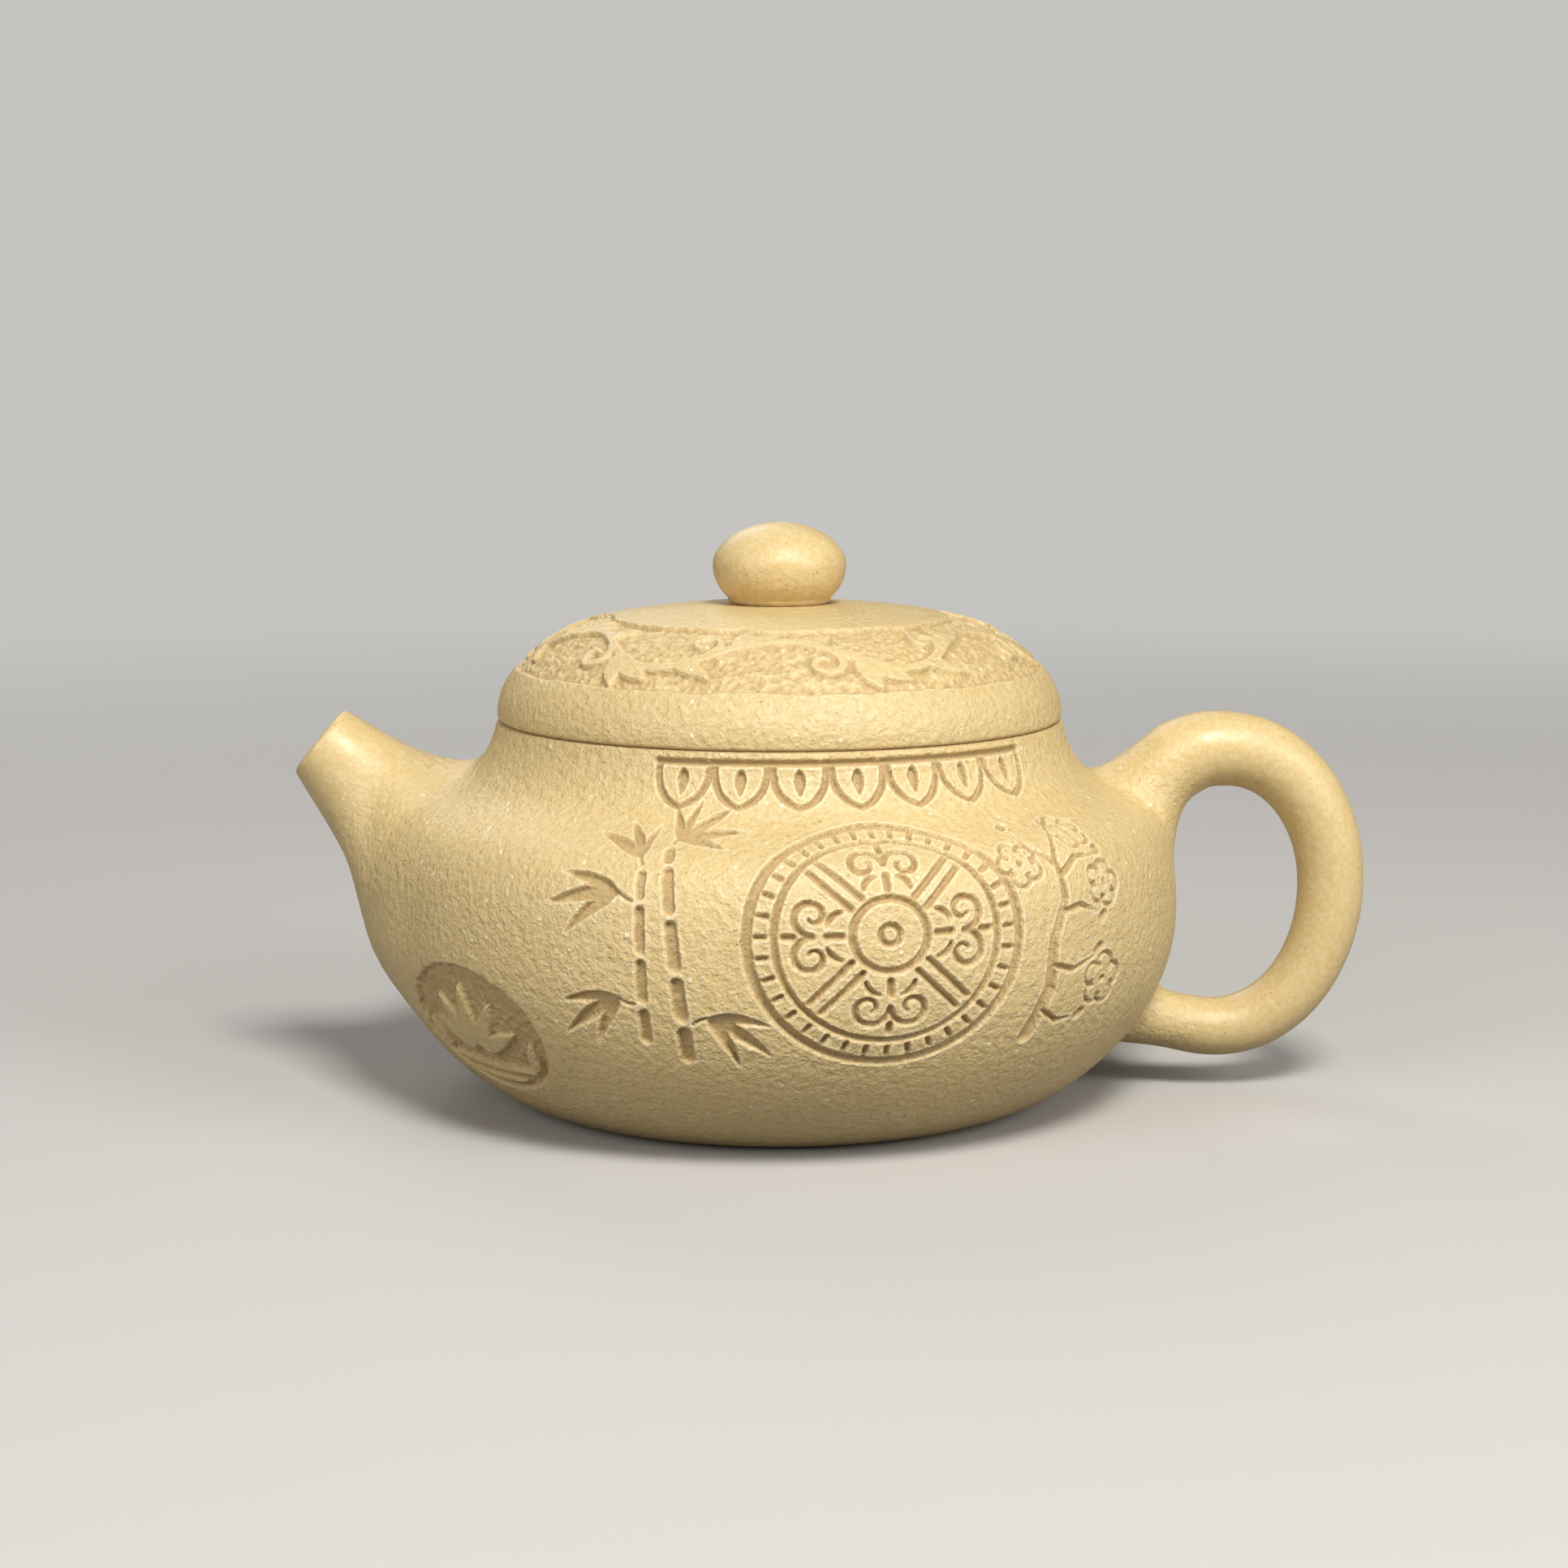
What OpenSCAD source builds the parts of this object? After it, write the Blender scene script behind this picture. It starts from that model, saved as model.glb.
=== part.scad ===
// Hand-built round clay teapot with a lift-off lid.
// The pot's axis is Z and it stands on z = 0. The handle points to +X
// and the spout to -X. The pieces of the pot are luted together with slip,
// and the lid rests loose on the mouth.

/* [Pot body] */
// Radius of the belly at its widest
belly_r = 52.5; // [47:0.5:58]
// Height of the belly's widest line
belly_z = 25.2; // [22:0.2:28]
// Radius of the foot, where the wall turns up
foot_r = 32; // [28:0.5:36]
// Height of the seam between the mouth and the lid
seam_z = 49.9; // [46:0.1:54]
// Outer radius of the mouth
mouth_r = 37.1; // [34:0.1:40]
// Thickness of the pot's wall
wall_t = 2.8; // [2:0.1:3.2]

/* [Foot] */
// Thickness of the base disc
base_t = 3.2; // [2.4:0.1:4]
// Width of the flat ring that the pot stands on
foot_ring_w = 5.5; // [3:0.5:9]
// Depth of the pressed hollow under the base
foot_dish = 1.2; // [0.4:0.1:1.6]

/* [Mouth] */
// Width of the flat seat that the lid rests on
seat_w = 4.9; // [4:0.1:7]
// Height of the mouth ring
mouth_ring_h = 2.7; // [2:0.1:3.4]
// Height of the neck ring under the mouth ring
neck_ring_h = 2.6; // [2:0.1:3.4]
// Thickness of the disc that closes the shoulder
shoulder_t = 3; // [2.2:0.1:3.6]
// Radius of the soft edge along the lid's seam
seam_round = 0.5; // [0.2:0.1:1]

/* [Lid] */
// Rise of the lid's dome above the seam
lid_h = 15; // [12:0.5:19]
// Thickness of the lid's seat plate
lid_plate_t = 2.4; // [2:0.1:3]
// Thickness of the lid's dome
lid_dome_t = 2.6; // [2:0.1:3.2]
// Depth of the flange that centres the lid in the mouth
flange_depth = 7; // [5:0.5:9]
// Thickness of the flange
flange_t = 2.7; // [2:0.1:3.4]
// Running clearance between the flange and the mouth
lid_clearance = 0.25; // [0.15:0.05:0.5]

/* [Knob] */
// Largest radius of the knob
knob_r = 8.75; // [7:0.25:10.5]
// Radius of the knob where it is luted to the lid
knob_foot_r = 6.75; // [5.5:0.25:8]
// Height of the knob above its seat
knob_h = 10.6; // [9:0.1:13]
// Diameter of the air vent through the knob
vent_d = 1.8; // [1:0.1:2.4]

/* [Spout] */
// Reach of the spout's lip beyond the belly
spout_reach = 7.8; // [5:0.2:11]
// Height of the centre of the lip below the seam
spout_drop = 3.8; // [2:0.2:6]
// Outer radius of the lip
spout_lip_r = 5.45; // [4.9:0.05:6]
// Radius of the bore at the lip
spout_bore_r = 3.5; // [2.8:0.1:3.7]
// Angle of the spout's axis below the horizontal at the lip
spout_angle = 44.2; // [38:0.2:50]
// How much steeper than square to the axis the mouth is cut
spout_cut = 5; // [0:0.5:8]
// Half-width of the spout's root on the belly
spout_root_w = 19; // [15:0.5:22]
// Height where the spout's lower line leaves the belly
spout_root_z = 5.5; // [4:0.5:9]

/* [Strainer] */
// Radius of the hole in the wall behind the spout
strainer_hole_r = 6; // [5:0.1:6.4]
// Length of the strainer's straight side inside the wall
strainer_reach = 1.6; // [1:0.1:3]
// Thickness of the strainer's shell
strainer_t = 1.2; // [0.9:0.1:1.6]
// Diameter of the strainer's small holes
strainer_pin_d = 1.5; // [1.2:0.1:1.8]
// Height of the strainer's centre on the wall
strainer_z = 33.2; // [31:0.2:34]

/* [Handle] */
// Reach of the handle beyond the belly
handle_reach = 25.3; // [21:0.5:30]
// Thickness of the handle where it leaves the shoulder
handle_root_t = 10.4; // [9:0.1:12]
// Thickness of the handle at its crown
handle_crown_t = 10; // [8:0.1:12]
// Thickness of the handle at its outermost point
handle_back_t = 8.7; // [7:0.1:10]
// Thickness of the handle at its lower end
handle_tail_t = 7.5; // [6:0.1:9]
// Width of the handle's section over its thickness
handle_width_ratio = 1.1; // [0.9:0.05:1.3]
// Height of the crown's underside below the seam
handle_grip_drop = 9.3; // [7:0.1:12]
// Height of the handle's lowest point above the table
handle_clear_z = 4; // [2.5:0.1:6]

/* [Hidden] */

clay = [0.80, 0.69, 0.49];
$fn = 96;
slip = 0.15;                 // film of slip under a luted root
mouth_bore_r = mouth_r - seat_w;
flange_r = mouth_bore_r - lid_clearance;
mouth_ring_z = seam_z - mouth_ring_h;
neck_ring_z = mouth_ring_z - neck_ring_h;
shoulder_z = neck_ring_z - shoulder_t;
beyond = 200;                // larger than the pot in every direction

// ---- curves ----------------------------------------------------------

function bez(p, t) = let (u = 1 - t)
    u*u*u*p[0] + 3*u*u*t*p[1] + 3*u*t*t*p[2] + t*t*t*p[3];
function bez_dir(p, t) = let (u = 1 - t)
    u*u*(p[1] - p[0]) + 2*u*t*(p[2] - p[1]) + t*t*(p[3] - p[2]);
function unit(v) = v / norm(v);
function curve(p, n, first = 0) = [for (i = [first:n]) bez(p, i / n)];
// The same curve, moved sideways by d to the left of its direction
function curve_off(p, n, d, first = 0) = [
    for (i = [first:n]) let (t = i / n, q = unit(bez_dir(p, t))) bez(p, t) + d * [-q[1], q[0]]
];
function mix(a, b, t) = a + (b - a) * t;
function polar(a, r = 1) = r * [cos(a), sin(a)];
function reversed(v) = [for (i = [len(v) - 1:-1:0]) v[i]];

// ---- outline of the pot ------------------------------------------------

belly_curve = 15;            // points on the belly's lower curve
shoulder_curve = 20;         // points on the curve up to the mouth
foot_swell = 5.5;            // how far the line pulls outwards along the table
belly_drop = 15.2;           // how far it pulls straight down from the belly
belly_top_drop = 3.9;        // how far under the seam the upper curve's pull ends
mouth_pull = [3.5, -15.2];   // the way the line comes up to the mouth
lower_line = [
    [foot_r, 0], [foot_r + foot_swell, 0], [belly_r, belly_z - belly_drop], [belly_r, belly_z]
];
upper_line = [
    [belly_r, belly_z], [belly_r, seam_z - belly_top_drop], [mouth_r, seam_z] + mouth_pull,
    [mouth_r, seam_z]
];
// Outline moved outwards by d, from the foot to the mouth
function pot_line(d = 0) = concat(
    curve_off(lower_line, belly_curve, -d), curve_off(upper_line, shoulder_curve, -d, 1)
);

// The whole wall, foot to mouth, as a section to be cut into pieces
module wall_section() {
    polygon(concat(pot_line(), reversed(pot_line(-wall_t))));
}

// The part of a section between two heights
module between(z1, z2) {
    intersection() {
        children();
        translate([0, z1]) square([beyond, z2 - z1]);
    }
}

// A solid section from the mouth's bore out to the pot's outline
module collar_section(z1, z2) {
    between(z1, z2) difference() {
        polygon(concat([[0, 0]], pot_line(), [[0, seam_z]]));
        square([mouth_bore_r, beyond]);
    }
}

// ---- lengths along the outline, for what is luted onto the wall ---------

root_line = pot_line(slip);
root_run = [
    for (i = 0, s = 0; i < len(root_line);
         s = s + (i + 1 < len(root_line) ? norm(root_line[i + 1] - root_line[i]) : 0), i = i + 1) s
];
run_to_r = [for (i = [0:len(root_line) - 1]) [root_run[i], root_line[i][0]]];
run_to_z = [for (i = [0:len(root_line) - 1]) [root_run[i], root_line[i][1]]];
z_to_run = [for (i = [0:len(root_line) - 1]) [root_line[i][1], root_run[i]]];
function run_at(z) = lookup(z, z_to_run);
// The point on the wall at run s and sideways distance y, on the +X or -X side
function on_wall(q, side) = let (r = lookup(q[0], run_to_r))
    [side * sqrt(r*r - q[1]*q[1]), q[1], lookup(q[0], run_to_z)];
// Direction along the wall, away from the middle of a root
function wall_dir(q, mid, side) = let (e = 0.2 * unit(q - mid))
    unit(on_wall(q + e, side) - on_wall(q - e, side));
// Direction straight out of the wall at q
function wall_out(q, side) = let (
    e = 0.2, p = on_wall(q, side), r = norm([p[0], p[1]]),
    t = unit([lookup(q[0] + e, run_to_r) - lookup(q[0] - e, run_to_r),
        lookup(q[0] + e, run_to_z) - lookup(q[0] - e, run_to_z)])
) [p[0] / r * t[1], p[1] / r * t[1], -t[0]];
// An oval on the wall: run from low to high, half-width w
function wall_oval(low, high, w, n) = let (mid = (low + high) / 2, h = (high - low) / 2)
    [for (j = [0:n - 1]) let (a = 360 * j / n) [mid + h * cos(a), w * sin(a)]];

// ---- rings and the skin over them ---------------------------------------

// A ring across direction d at c, with half-thickness a in the XZ plane
// and half-width b along Y. Its first point is on the side up.
function ring(c, d, a, b, n) = let (q = unit([d[0], 0, d[1]]), up = [-q[2], 0, q[0]])
    [for (j = [0:n - 1]) let (t = 360 * j / n)
        [c[0], 0, c[1]] + a * cos(t) * up + [0, b * sin(t), 0]];

// Triangles between two rings of n points that start at i0 and i1
function band(i0, i1, n) = [
    for (j = [0:n - 1]) let (k = (j + 1) % n) each [[i0 + j, i1 + j, i1 + k], [i0 + j, i1 + k, i0 + k]]
];

// A solid from a closed chain of rings: the last joins the first
module ring_solid(rings) {
    n = len(rings[0]);
    m = len(rings);
    polyhedron(
        points = [for (r = rings) each r],
        faces = [for (i = [0:m - 1]) each band(i * n, ((i + 1) % m) * n, n)],
        convexity = 6
    );
}

// A solid from a chain of rings, closed at each end by a fan
module capped_solid(rings, first_mid, last_mid) {
    n = len(rings[0]);
    m = len(rings);
    polyhedron(
        points = concat([for (r = rings) each r], [first_mid, last_mid]),
        faces = concat(
            [for (i = [0:m - 2]) each band(i * n, (i + 1) * n, n)],
            [for (j = [0:n - 1]) [m * n, j, (j + 1) % n]],
            [for (j = [0:n - 1]) [m * n + 1, (m - 1) * n + (j + 1) % n, (m - 1) * n + j]]
        ),
        convexity = 6
    );
}

// ---- the pot ------------------------------------------------------------

foot_hollow_r = foot_r - foot_ring_w;
foot_arc = 8;
module base_disc() {
    color(clay) rotate_extrude() polygon(concat(
        [for (i = [0:foot_arc]) let (r = foot_hollow_r * i / foot_arc)
            [r, foot_dish * (1 - pow(i / foot_arc, 2))]],
        [[foot_r, 0], [foot_r, base_t], [0, base_t]]
    ));
}

strainer_run = run_at(strainer_z);
strainer_point = on_wall([strainer_run, 0], -1);
// Direction straight out through the wall behind the spout
strainer_out = let (t = wall_dir([strainer_run, 0], [strainer_run - 1, 0], -1)) [-t[2], 0, t[0]];
strainer_tilt = atan2(strainer_out[2], -strainer_out[0]);

// Puts a shape that is made along Z onto the strainer's axis, Z into the pot
module on_strainer_axis() {
    translate(strainer_point) rotate([0, 90 + strainer_tilt, 0]) children();
}

module body_wall() {
    color(clay) difference() {
        rotate_extrude() between(0, shoulder_z) wall_section();
        on_strainer_axis() cylinder(r = strainer_hole_r, h = 6 * wall_t, center = true);
    }
}

module shoulder_disc() {
    color(clay) rotate_extrude() collar_section(shoulder_z, neck_ring_z);
}

module neck_ring() {
    color(clay) rotate_extrude() collar_section(neck_ring_z, mouth_ring_z);
}

// A section with its outer corner at [r, z] rounded; side is 1 above, -1 below
module soft_corner(r, z, side) {
    difference() {
        children();
        translate([r, z]) mirror([0, side > 0 ? 1 : 0]) difference() {
            translate([-seam_round, -1]) square([seam_round + 1, seam_round + 1]);
            translate([-seam_round, seam_round]) circle(r = seam_round, $fn = 48);
        }
    }
}

module mouth_ring() {
    color(clay) rotate_extrude()
        soft_corner(mouth_r, seam_z, 1) collar_section(mouth_ring_z, seam_z);
}

// ---- the spout ----------------------------------------------------------

spout_sides = 44;
spout_axis = [cos(spout_angle), -sin(spout_angle)];
lip_mid = [-(belly_r + spout_reach), seam_z - spout_drop];
mouth_axis = [cos(spout_angle - spout_cut), -sin(spout_angle - spout_cut)];
spout_flare = 13.4;          // half-angle of the cone below the lip
lip_cone = 4.03;             // length of the plain cone below the lip
lip_round = 0.85;            // how far the rounded lip stands proud
spout_root_drop = 4.9;       // how far under the seam the root begins
spout_edge = 0.25;           // thickness of the root's edge on the wall
hole_rim = [0.5, 0.4];       // how much wider the bore ends than the hole in the wall
throat_mid = lip_mid + lip_cone * spout_axis;
throat_r = spout_lip_r + lip_cone * tan(spout_flare);
spout_root_low = run_at(spout_root_z);
spout_root_high = run_at(seam_z - spout_root_drop);
spout_root = wall_oval(spout_root_low, spout_root_high, spout_root_w, spout_sides);
spout_mid = [(spout_root_low + spout_root_high) / 2, 0];
spout_hole = wall_oval(
    strainer_run - strainer_hole_r - hole_rim[0], strainer_run + strainer_hole_r + hole_rim[0],
    strainer_hole_r + hole_rim[1], spout_sides
);

// Directions from a ring's points along a cone round its axis
function cone_dirs(ring, mid, axis, flare) = [
    for (p = ring) cos(flare) * [axis[0], 0, axis[1]] + sin(flare) * unit(p - [mid[0], 0, mid[1]])
];

// One ring of the lip: r from its middle, and out from the plane of the mouth
function lip_ring(r, out) = ring(lip_mid - out * mouth_axis, mouth_axis, r, r, spout_sides);

// Rings between two curves of points, each point on its own cubic
function blend_rings(a, a_dir, a_pull, b, b_dir, b_pull, steps) = [
    for (i = steps) [for (j = [0:len(a) - 1]) bez([
        a[j], a[j] + a_pull[j] * a_dir[j], b[j] - b_pull[j] * b_dir[j], b[j]], i)]
];
// Pulls round a ring, from the upper side's value over the flanks' to the lower side's.
// A sharper one keeps the flanks' value up to nearer the top and bottom.
function pulls(up, flank, low, n, sharp = 2) = [
    for (j = [0:n - 1]) let (c = cos(360 * j / n)) mix(flank, c > 0 ? up : low, pow(abs(c), sharp))
];
// Steps from 0 to 1, without the ends
function steps_between(n) = [for (i = [1:n - 1]) i / n];

lip_arc = 5;
lip_edge_r = (spout_lip_r - spout_bore_r) / 2;
lip_crest_r = (spout_lip_r + spout_bore_r) / 2;
bore_mid_r = spout_bore_r + 0.5;
bore_in = unit([0.40, 0, -0.917]);   // the way the bore runs as it meets the wall

throat = ring(throat_mid, spout_axis, throat_r, throat_r, spout_sides);
function spout_outside() = concat(
    [for (i = [0:lip_arc]) let (a = 180 - 180 * i / lip_arc)
        lip_ring(lip_crest_r + lip_edge_r * cos(a), lip_round * sin(a))],
    [throat],
    blend_rings(
        throat, cone_dirs(throat, throat_mid, spout_axis, spout_flare),
        pulls(8.3, 6, 26, spout_sides, 6),
        [for (q = spout_root) on_wall(q, -1) + spout_edge * wall_out(q, -1)],
        [for (q = spout_root) wall_dir(q, spout_mid, -1)], pulls(2.4, 10, 20, spout_sides),
        [for (i = [1:14]) i / 14]
    )
);
// The face that lies on the wall, from the root's edge in to the bore
seat_steps = 9;
function spout_seat() = [
    for (i = [0:seat_steps])
        [for (j = [0:spout_sides - 1]) on_wall(mix(spout_root[j], spout_hole[j], i / seat_steps), -1)]
];
function spout_bore() = let (
    start = ring(throat_mid, spout_axis, bore_mid_r, bore_mid_r, spout_sides),
    end = [for (q = spout_hole) on_wall(q, -1)]
) concat(
    reversed(blend_rings(
        start, cone_dirs(start, throat_mid, spout_axis, 4), pulls(5, 5, 5, spout_sides),
        end, [for (q = spout_hole) bore_in], pulls(2.8, 2.8, 2.8, spout_sides), steps_between(8)
    )),
    [start]
);

module spout() {
    color(clay) ring_solid([for (r = concat(spout_outside(), spout_seat(), spout_bore())) reversed(r)]);
}

// ---- the strainer ---------------------------------------------------------

// Rows of small holes over the dome: angle from its axis, and holes in the row
strainer_rows = [[0, 1], [27, 6], [54, 12], [81, 12]];
strainer_gap = 0.1;          // between the thimble and the edge of its hole
strainer_r = strainer_hole_r - strainer_gap;
strainer_sink = 1;           // how far the thimble is pushed into the wall
inner_face = wall_t + slip;  // depth of the wall's inner face below the spout's seat

module strainer() {
    color(clay) on_strainer_axis() translate([0, 0, inner_face + strainer_reach]) difference() {
        rotate_extrude() {
            intersection() {
                difference() {
                    circle(r = strainer_r);
                    circle(r = strainer_r - strainer_t);
                }
                square(beyond);
            }
            translate([strainer_r - strainer_t, -strainer_reach - strainer_sink])
                square([strainer_t, strainer_reach + strainer_sink]);
        }
        for (row = strainer_rows, k = [0:row[1] - 1])
            rotate([0, 0, 360 * k / row[1]]) rotate([0, row[0], 0])
                translate([0, 0, strainer_r - 1.5 * strainer_t])
                    cylinder(d = strainer_pin_d, h = 2 * strainer_t, $fn = 24);
    }
}

// ---- the handle -----------------------------------------------------------

handle_sides = 32;
handle_sole_t = 7.8;         // thickness at the lowest point
crown_z = seam_z - handle_grip_drop + handle_crown_t / 2;
back_x = belly_r + handle_reach - handle_back_t / 2;
sole_z = handle_clear_z + handle_sole_t / 2;
root_dir = polar(28);
tail_dir = polar(168.5);
tail_z = 9.7;                // height where the tail's axis meets the wall
root_mid = [mouth_r + 15.75, seam_z - 5.8];
crown_mid = [belly_r + 6.4, crown_z];
back_mid = [back_x, belly_z + 2.2];
sole_mid = [belly_r + 5.8, sole_z];
tail_stub = [5, -0.8];       // from there to the end of the handle's even part
tail_mid = [lookup(run_at(tail_z), run_to_r), tail_z] + tail_stub;
// How far each arc pulls along its ends, as a share of its width or height
round_pull = 0.56;
handle_arcs = [
    [root_mid, root_mid + 2.8 * root_dir, crown_mid - [2.9, 0], crown_mid],
    [crown_mid, crown_mid + [round_pull * (back_mid[0] - crown_mid[0]), 0],
        back_mid + [0, round_pull * (crown_mid[1] - back_mid[1])], back_mid],
    [back_mid, back_mid - [0, round_pull * (back_mid[1] - sole_mid[1])],
        sole_mid + [round_pull * (back_mid[0] - sole_mid[0]), 0], sole_mid],
    [sole_mid, sole_mid - [2.5, 0], tail_mid - 2.5 * tail_dir, tail_mid]
];
handle_ts = [handle_root_t, handle_crown_t, handle_back_t, handle_sole_t, handle_tail_t];
arc_steps = [3, 9, 9, 3];

function handle_ring(k, t) = let (h = mix(handle_ts[k], handle_ts[k + 1], t) / 2)
    ring(bez(handle_arcs[k], t), bez_dir(handle_arcs[k], t), h, h * handle_width_ratio, handle_sides);
function handle_tube() = [
    for (k = [0:3]) each [for (i = [k == 0 ? 0 : 1:arc_steps[k]]) handle_ring(k, i / arc_steps[k])]
];
// Rings from the edge of a root on the wall in towards its middle
function seat_rings(oval, mid, side, n) = [
    for (i = [1:n - 1]) [for (q = oval) on_wall(mix(q, mid, i / n), side)]
];
// Rings from the end of the handle down to its root on the wall
function handle_root(end, mid, dir, flare, pull, oval, oval_mid, oval_pull, n) = blend_rings(
    end, cone_dirs(end, mid, dir, flare), pull,
    [for (q = oval) on_wall(q, 1)], [for (q = oval) wall_dir(q, oval_mid, 1)], oval_pull,
    [for (i = [1:n]) i / n]
);

root_drop = 6.3;             // how far under the seam the upper root begins
root_tall = 17.1;            // height of the upper root on the wall
root_w = 9.5;                // half-width of the upper root
tail_rise = 5.5;             // how far the lower root spreads above the tail's axis
tail_fall = 4.3;             // and below it
tail_w = 5.8;                // half-width of the lower root
root_high = run_at(seam_z - root_drop);
root_low = run_at(seam_z - root_drop - root_tall);
root_oval = wall_oval(root_low, root_high, root_w, handle_sides);
root_oval_mid = [(root_low + root_high) / 2, 0];
tail_high = run_at(tail_z + tail_rise);
tail_low = run_at(tail_z - tail_fall);
tail_oval = wall_oval(tail_high, tail_low, tail_w, handle_sides);
tail_oval_mid = [(tail_low + tail_high) / 2, 0];

module handle() {
    root_rings = concat(
        handle_root(handle_ring(0, 0), root_mid, -root_dir, 7.4, pulls(1.3, 3, 3, handle_sides),
            root_oval, root_oval_mid, pulls(3.5, 4, 9.4, handle_sides), 10),
        seat_rings(root_oval, root_oval_mid, 1, 5)
    );
    tail_rings = concat(
        handle_root(handle_ring(3, 1), tail_mid, tail_dir, 4, pulls(3, 2.2, 1.5, handle_sides),
            tail_oval, tail_oval_mid, pulls(1.5, 1.5, 1.2, handle_sides), 5),
        seat_rings(tail_oval, tail_oval_mid, 1, 3)
    );
    color(clay) capped_solid(
        concat(reversed(tail_rings), reversed(handle_tube()), root_rings),
        on_wall(tail_oval_mid, 1), on_wall(root_oval_mid, 1)
    );
}

// ---- the lid ----------------------------------------------------------------

lid_curve = 12;
lid_edge = seam_z + 0.83;    // where the straight edge over the seam ends
lid_edge_pull = 5.7;         // how far the side pulls straight up from there
lid_break = [29.4, seam_z + lid_h - 3.95];   // where the side turns into the crown
lid_slope = 142.2;           // direction of the outline there
lid_top_pull = 13.9;         // how far the crown pulls level from the axis
lid_side = [
    [mouth_r, lid_edge], [mouth_r, lid_edge + lid_edge_pull], lid_break - polar(lid_slope, 1.4),
    lid_break
];
lid_crown = [
    lid_break, lid_break + polar(lid_slope, 3.8), [lid_top_pull, seam_z + lid_h], [0, seam_z + lid_h]
];
function lid_line(d = 0) = concat(
    [[mouth_r + d, seam_z]], curve_off(lid_side, lid_curve, -d), curve_off(lid_crown, lid_curve, -d, 1)
);
// The seat lies at the height that the dome's outline has at the knob's foot
knob_seat_z = lookup(knob_foot_r, reversed(lid_line()));
lid_plate_top = seam_z + lid_plate_t;

module lid_seat_plate() {
    color(clay) rotate_extrude() soft_corner(mouth_r, seam_z, -1) intersection() {
        polygon(concat([[0, seam_z]], lid_line()));
        translate([flange_r - flange_t, seam_z]) square([beyond, lid_plate_t]);
    }
}

module lid_dome() {
    color(clay) rotate_extrude() difference() {
        polygon(concat([[0, seam_z]], lid_line()));
        polygon(concat([[0, seam_z]], lid_line(-lid_dome_t)));
        square([beyond, lid_plate_top]);
        square([vent_d / 2, beyond]);
        translate([0, knob_seat_z]) square([knob_foot_r + 0.01, beyond]);
    }
}

module lid_flange() {
    color(clay) rotate_extrude()
        translate([flange_r - flange_t, seam_z - flange_depth]) square([flange_t, flange_depth]);
}

knob_curve = 10;
knob_waist_z = knob_seat_z + 0.483 * knob_h;   // height of its largest radius
knob_low = [
    [knob_foot_r, knob_seat_z], [knob_foot_r + 0.9, knob_seat_z + 1.2],
    [knob_r, knob_seat_z + 2.6], [knob_r, knob_waist_z]
];
knob_high = [
    [knob_r, knob_waist_z], [knob_r, knob_seat_z + 0.74 * knob_h],
    [0.56 * knob_r, knob_seat_z + knob_h], [0, knob_seat_z + knob_h]
];
module knob() {
    color(clay) rotate_extrude() difference() {
        polygon(concat([[0, knob_seat_z]], curve(knob_low, knob_curve), curve(knob_high, knob_curve, 1)));
        square([vent_d / 2, beyond]);
    }
}

base_disc();
body_wall();
shoulder_disc();
neck_ring();
mouth_ring();
spout();
strainer();
handle();
lid_seat_plate();
lid_dome();
lid_flange();
knob();
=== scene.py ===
"""Low round hand-built clay teapot, dressed over its fixed frame.

Every piece is in metres, in the frame's own coordinates: the pot's axis is Z, the table is z = 0,
the handle points to +X and the spout to -X. Outlines are (radius, height) in millimetres until a
piece is made from them.
"""
import math

import bpy
import numpy as np
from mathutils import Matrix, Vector, noise


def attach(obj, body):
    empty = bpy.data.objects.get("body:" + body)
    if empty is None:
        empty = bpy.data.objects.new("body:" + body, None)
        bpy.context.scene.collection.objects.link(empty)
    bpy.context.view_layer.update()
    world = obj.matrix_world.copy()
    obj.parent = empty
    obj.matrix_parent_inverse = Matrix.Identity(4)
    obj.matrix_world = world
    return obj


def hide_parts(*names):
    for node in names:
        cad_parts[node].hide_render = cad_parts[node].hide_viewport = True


bl_info = {
    "name": "Hand-Built Clay Teapot",
    "version": (1, 0, 0),
    "blender": (4, 5, 0),
    "location": "View3D > Sidebar > Teapot",
    "description": "Models a low round clay teapot with carved ornament over its fixed frame",
    "category": "Add Mesh",
}

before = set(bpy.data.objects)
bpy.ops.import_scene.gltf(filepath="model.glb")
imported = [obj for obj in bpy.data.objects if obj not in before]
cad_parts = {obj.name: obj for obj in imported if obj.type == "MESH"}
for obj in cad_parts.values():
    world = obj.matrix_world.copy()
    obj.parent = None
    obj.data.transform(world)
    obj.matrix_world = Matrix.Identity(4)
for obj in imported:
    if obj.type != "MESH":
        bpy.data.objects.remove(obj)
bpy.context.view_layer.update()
MM = 0.001


def flattened(co):
    """Points as rows of (radius, height)."""
    return np.c_[np.hypot(co[:, 0], co[:, 1]), co[:, 2]]


def turned_round(rows, azimuth):
    """Rows of (radius, height), each turned round Z to its azimuth."""
    return np.c_[rows[:, 0] * np.cos(azimuth), rows[:, 0] * np.sin(azimuth), rows[:, 1]]


def node_points(node):
    """The CAD node's vertices as rows of (radius, height), in millimetres."""
    return flattened(np.array([v.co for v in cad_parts[node].data.vertices]) / MM)


BELLY_R, SHOULDER_Z = node_points("body_wall").max(0)
FOOT_R, BASE_T = node_points("base_disc").max(0)
SEAM_Z = node_points("mouth_ring").max(0)[1]
BORE_R = node_points("mouth_ring").min(0)[0]
MOUTH_R, PLATE_TOP = node_points("lid_seat_plate").max(0)
FLANGE_R = node_points("lid_flange").max(0)[0]
FLANGE_IN_R, FLANGE_Z = node_points("lid_flange").min(0)
KNOB_R, KNOB_TOP = node_points("knob").max(0)
VENT_R, KNOB_SEAT_Z = node_points("knob").min(0)

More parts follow.
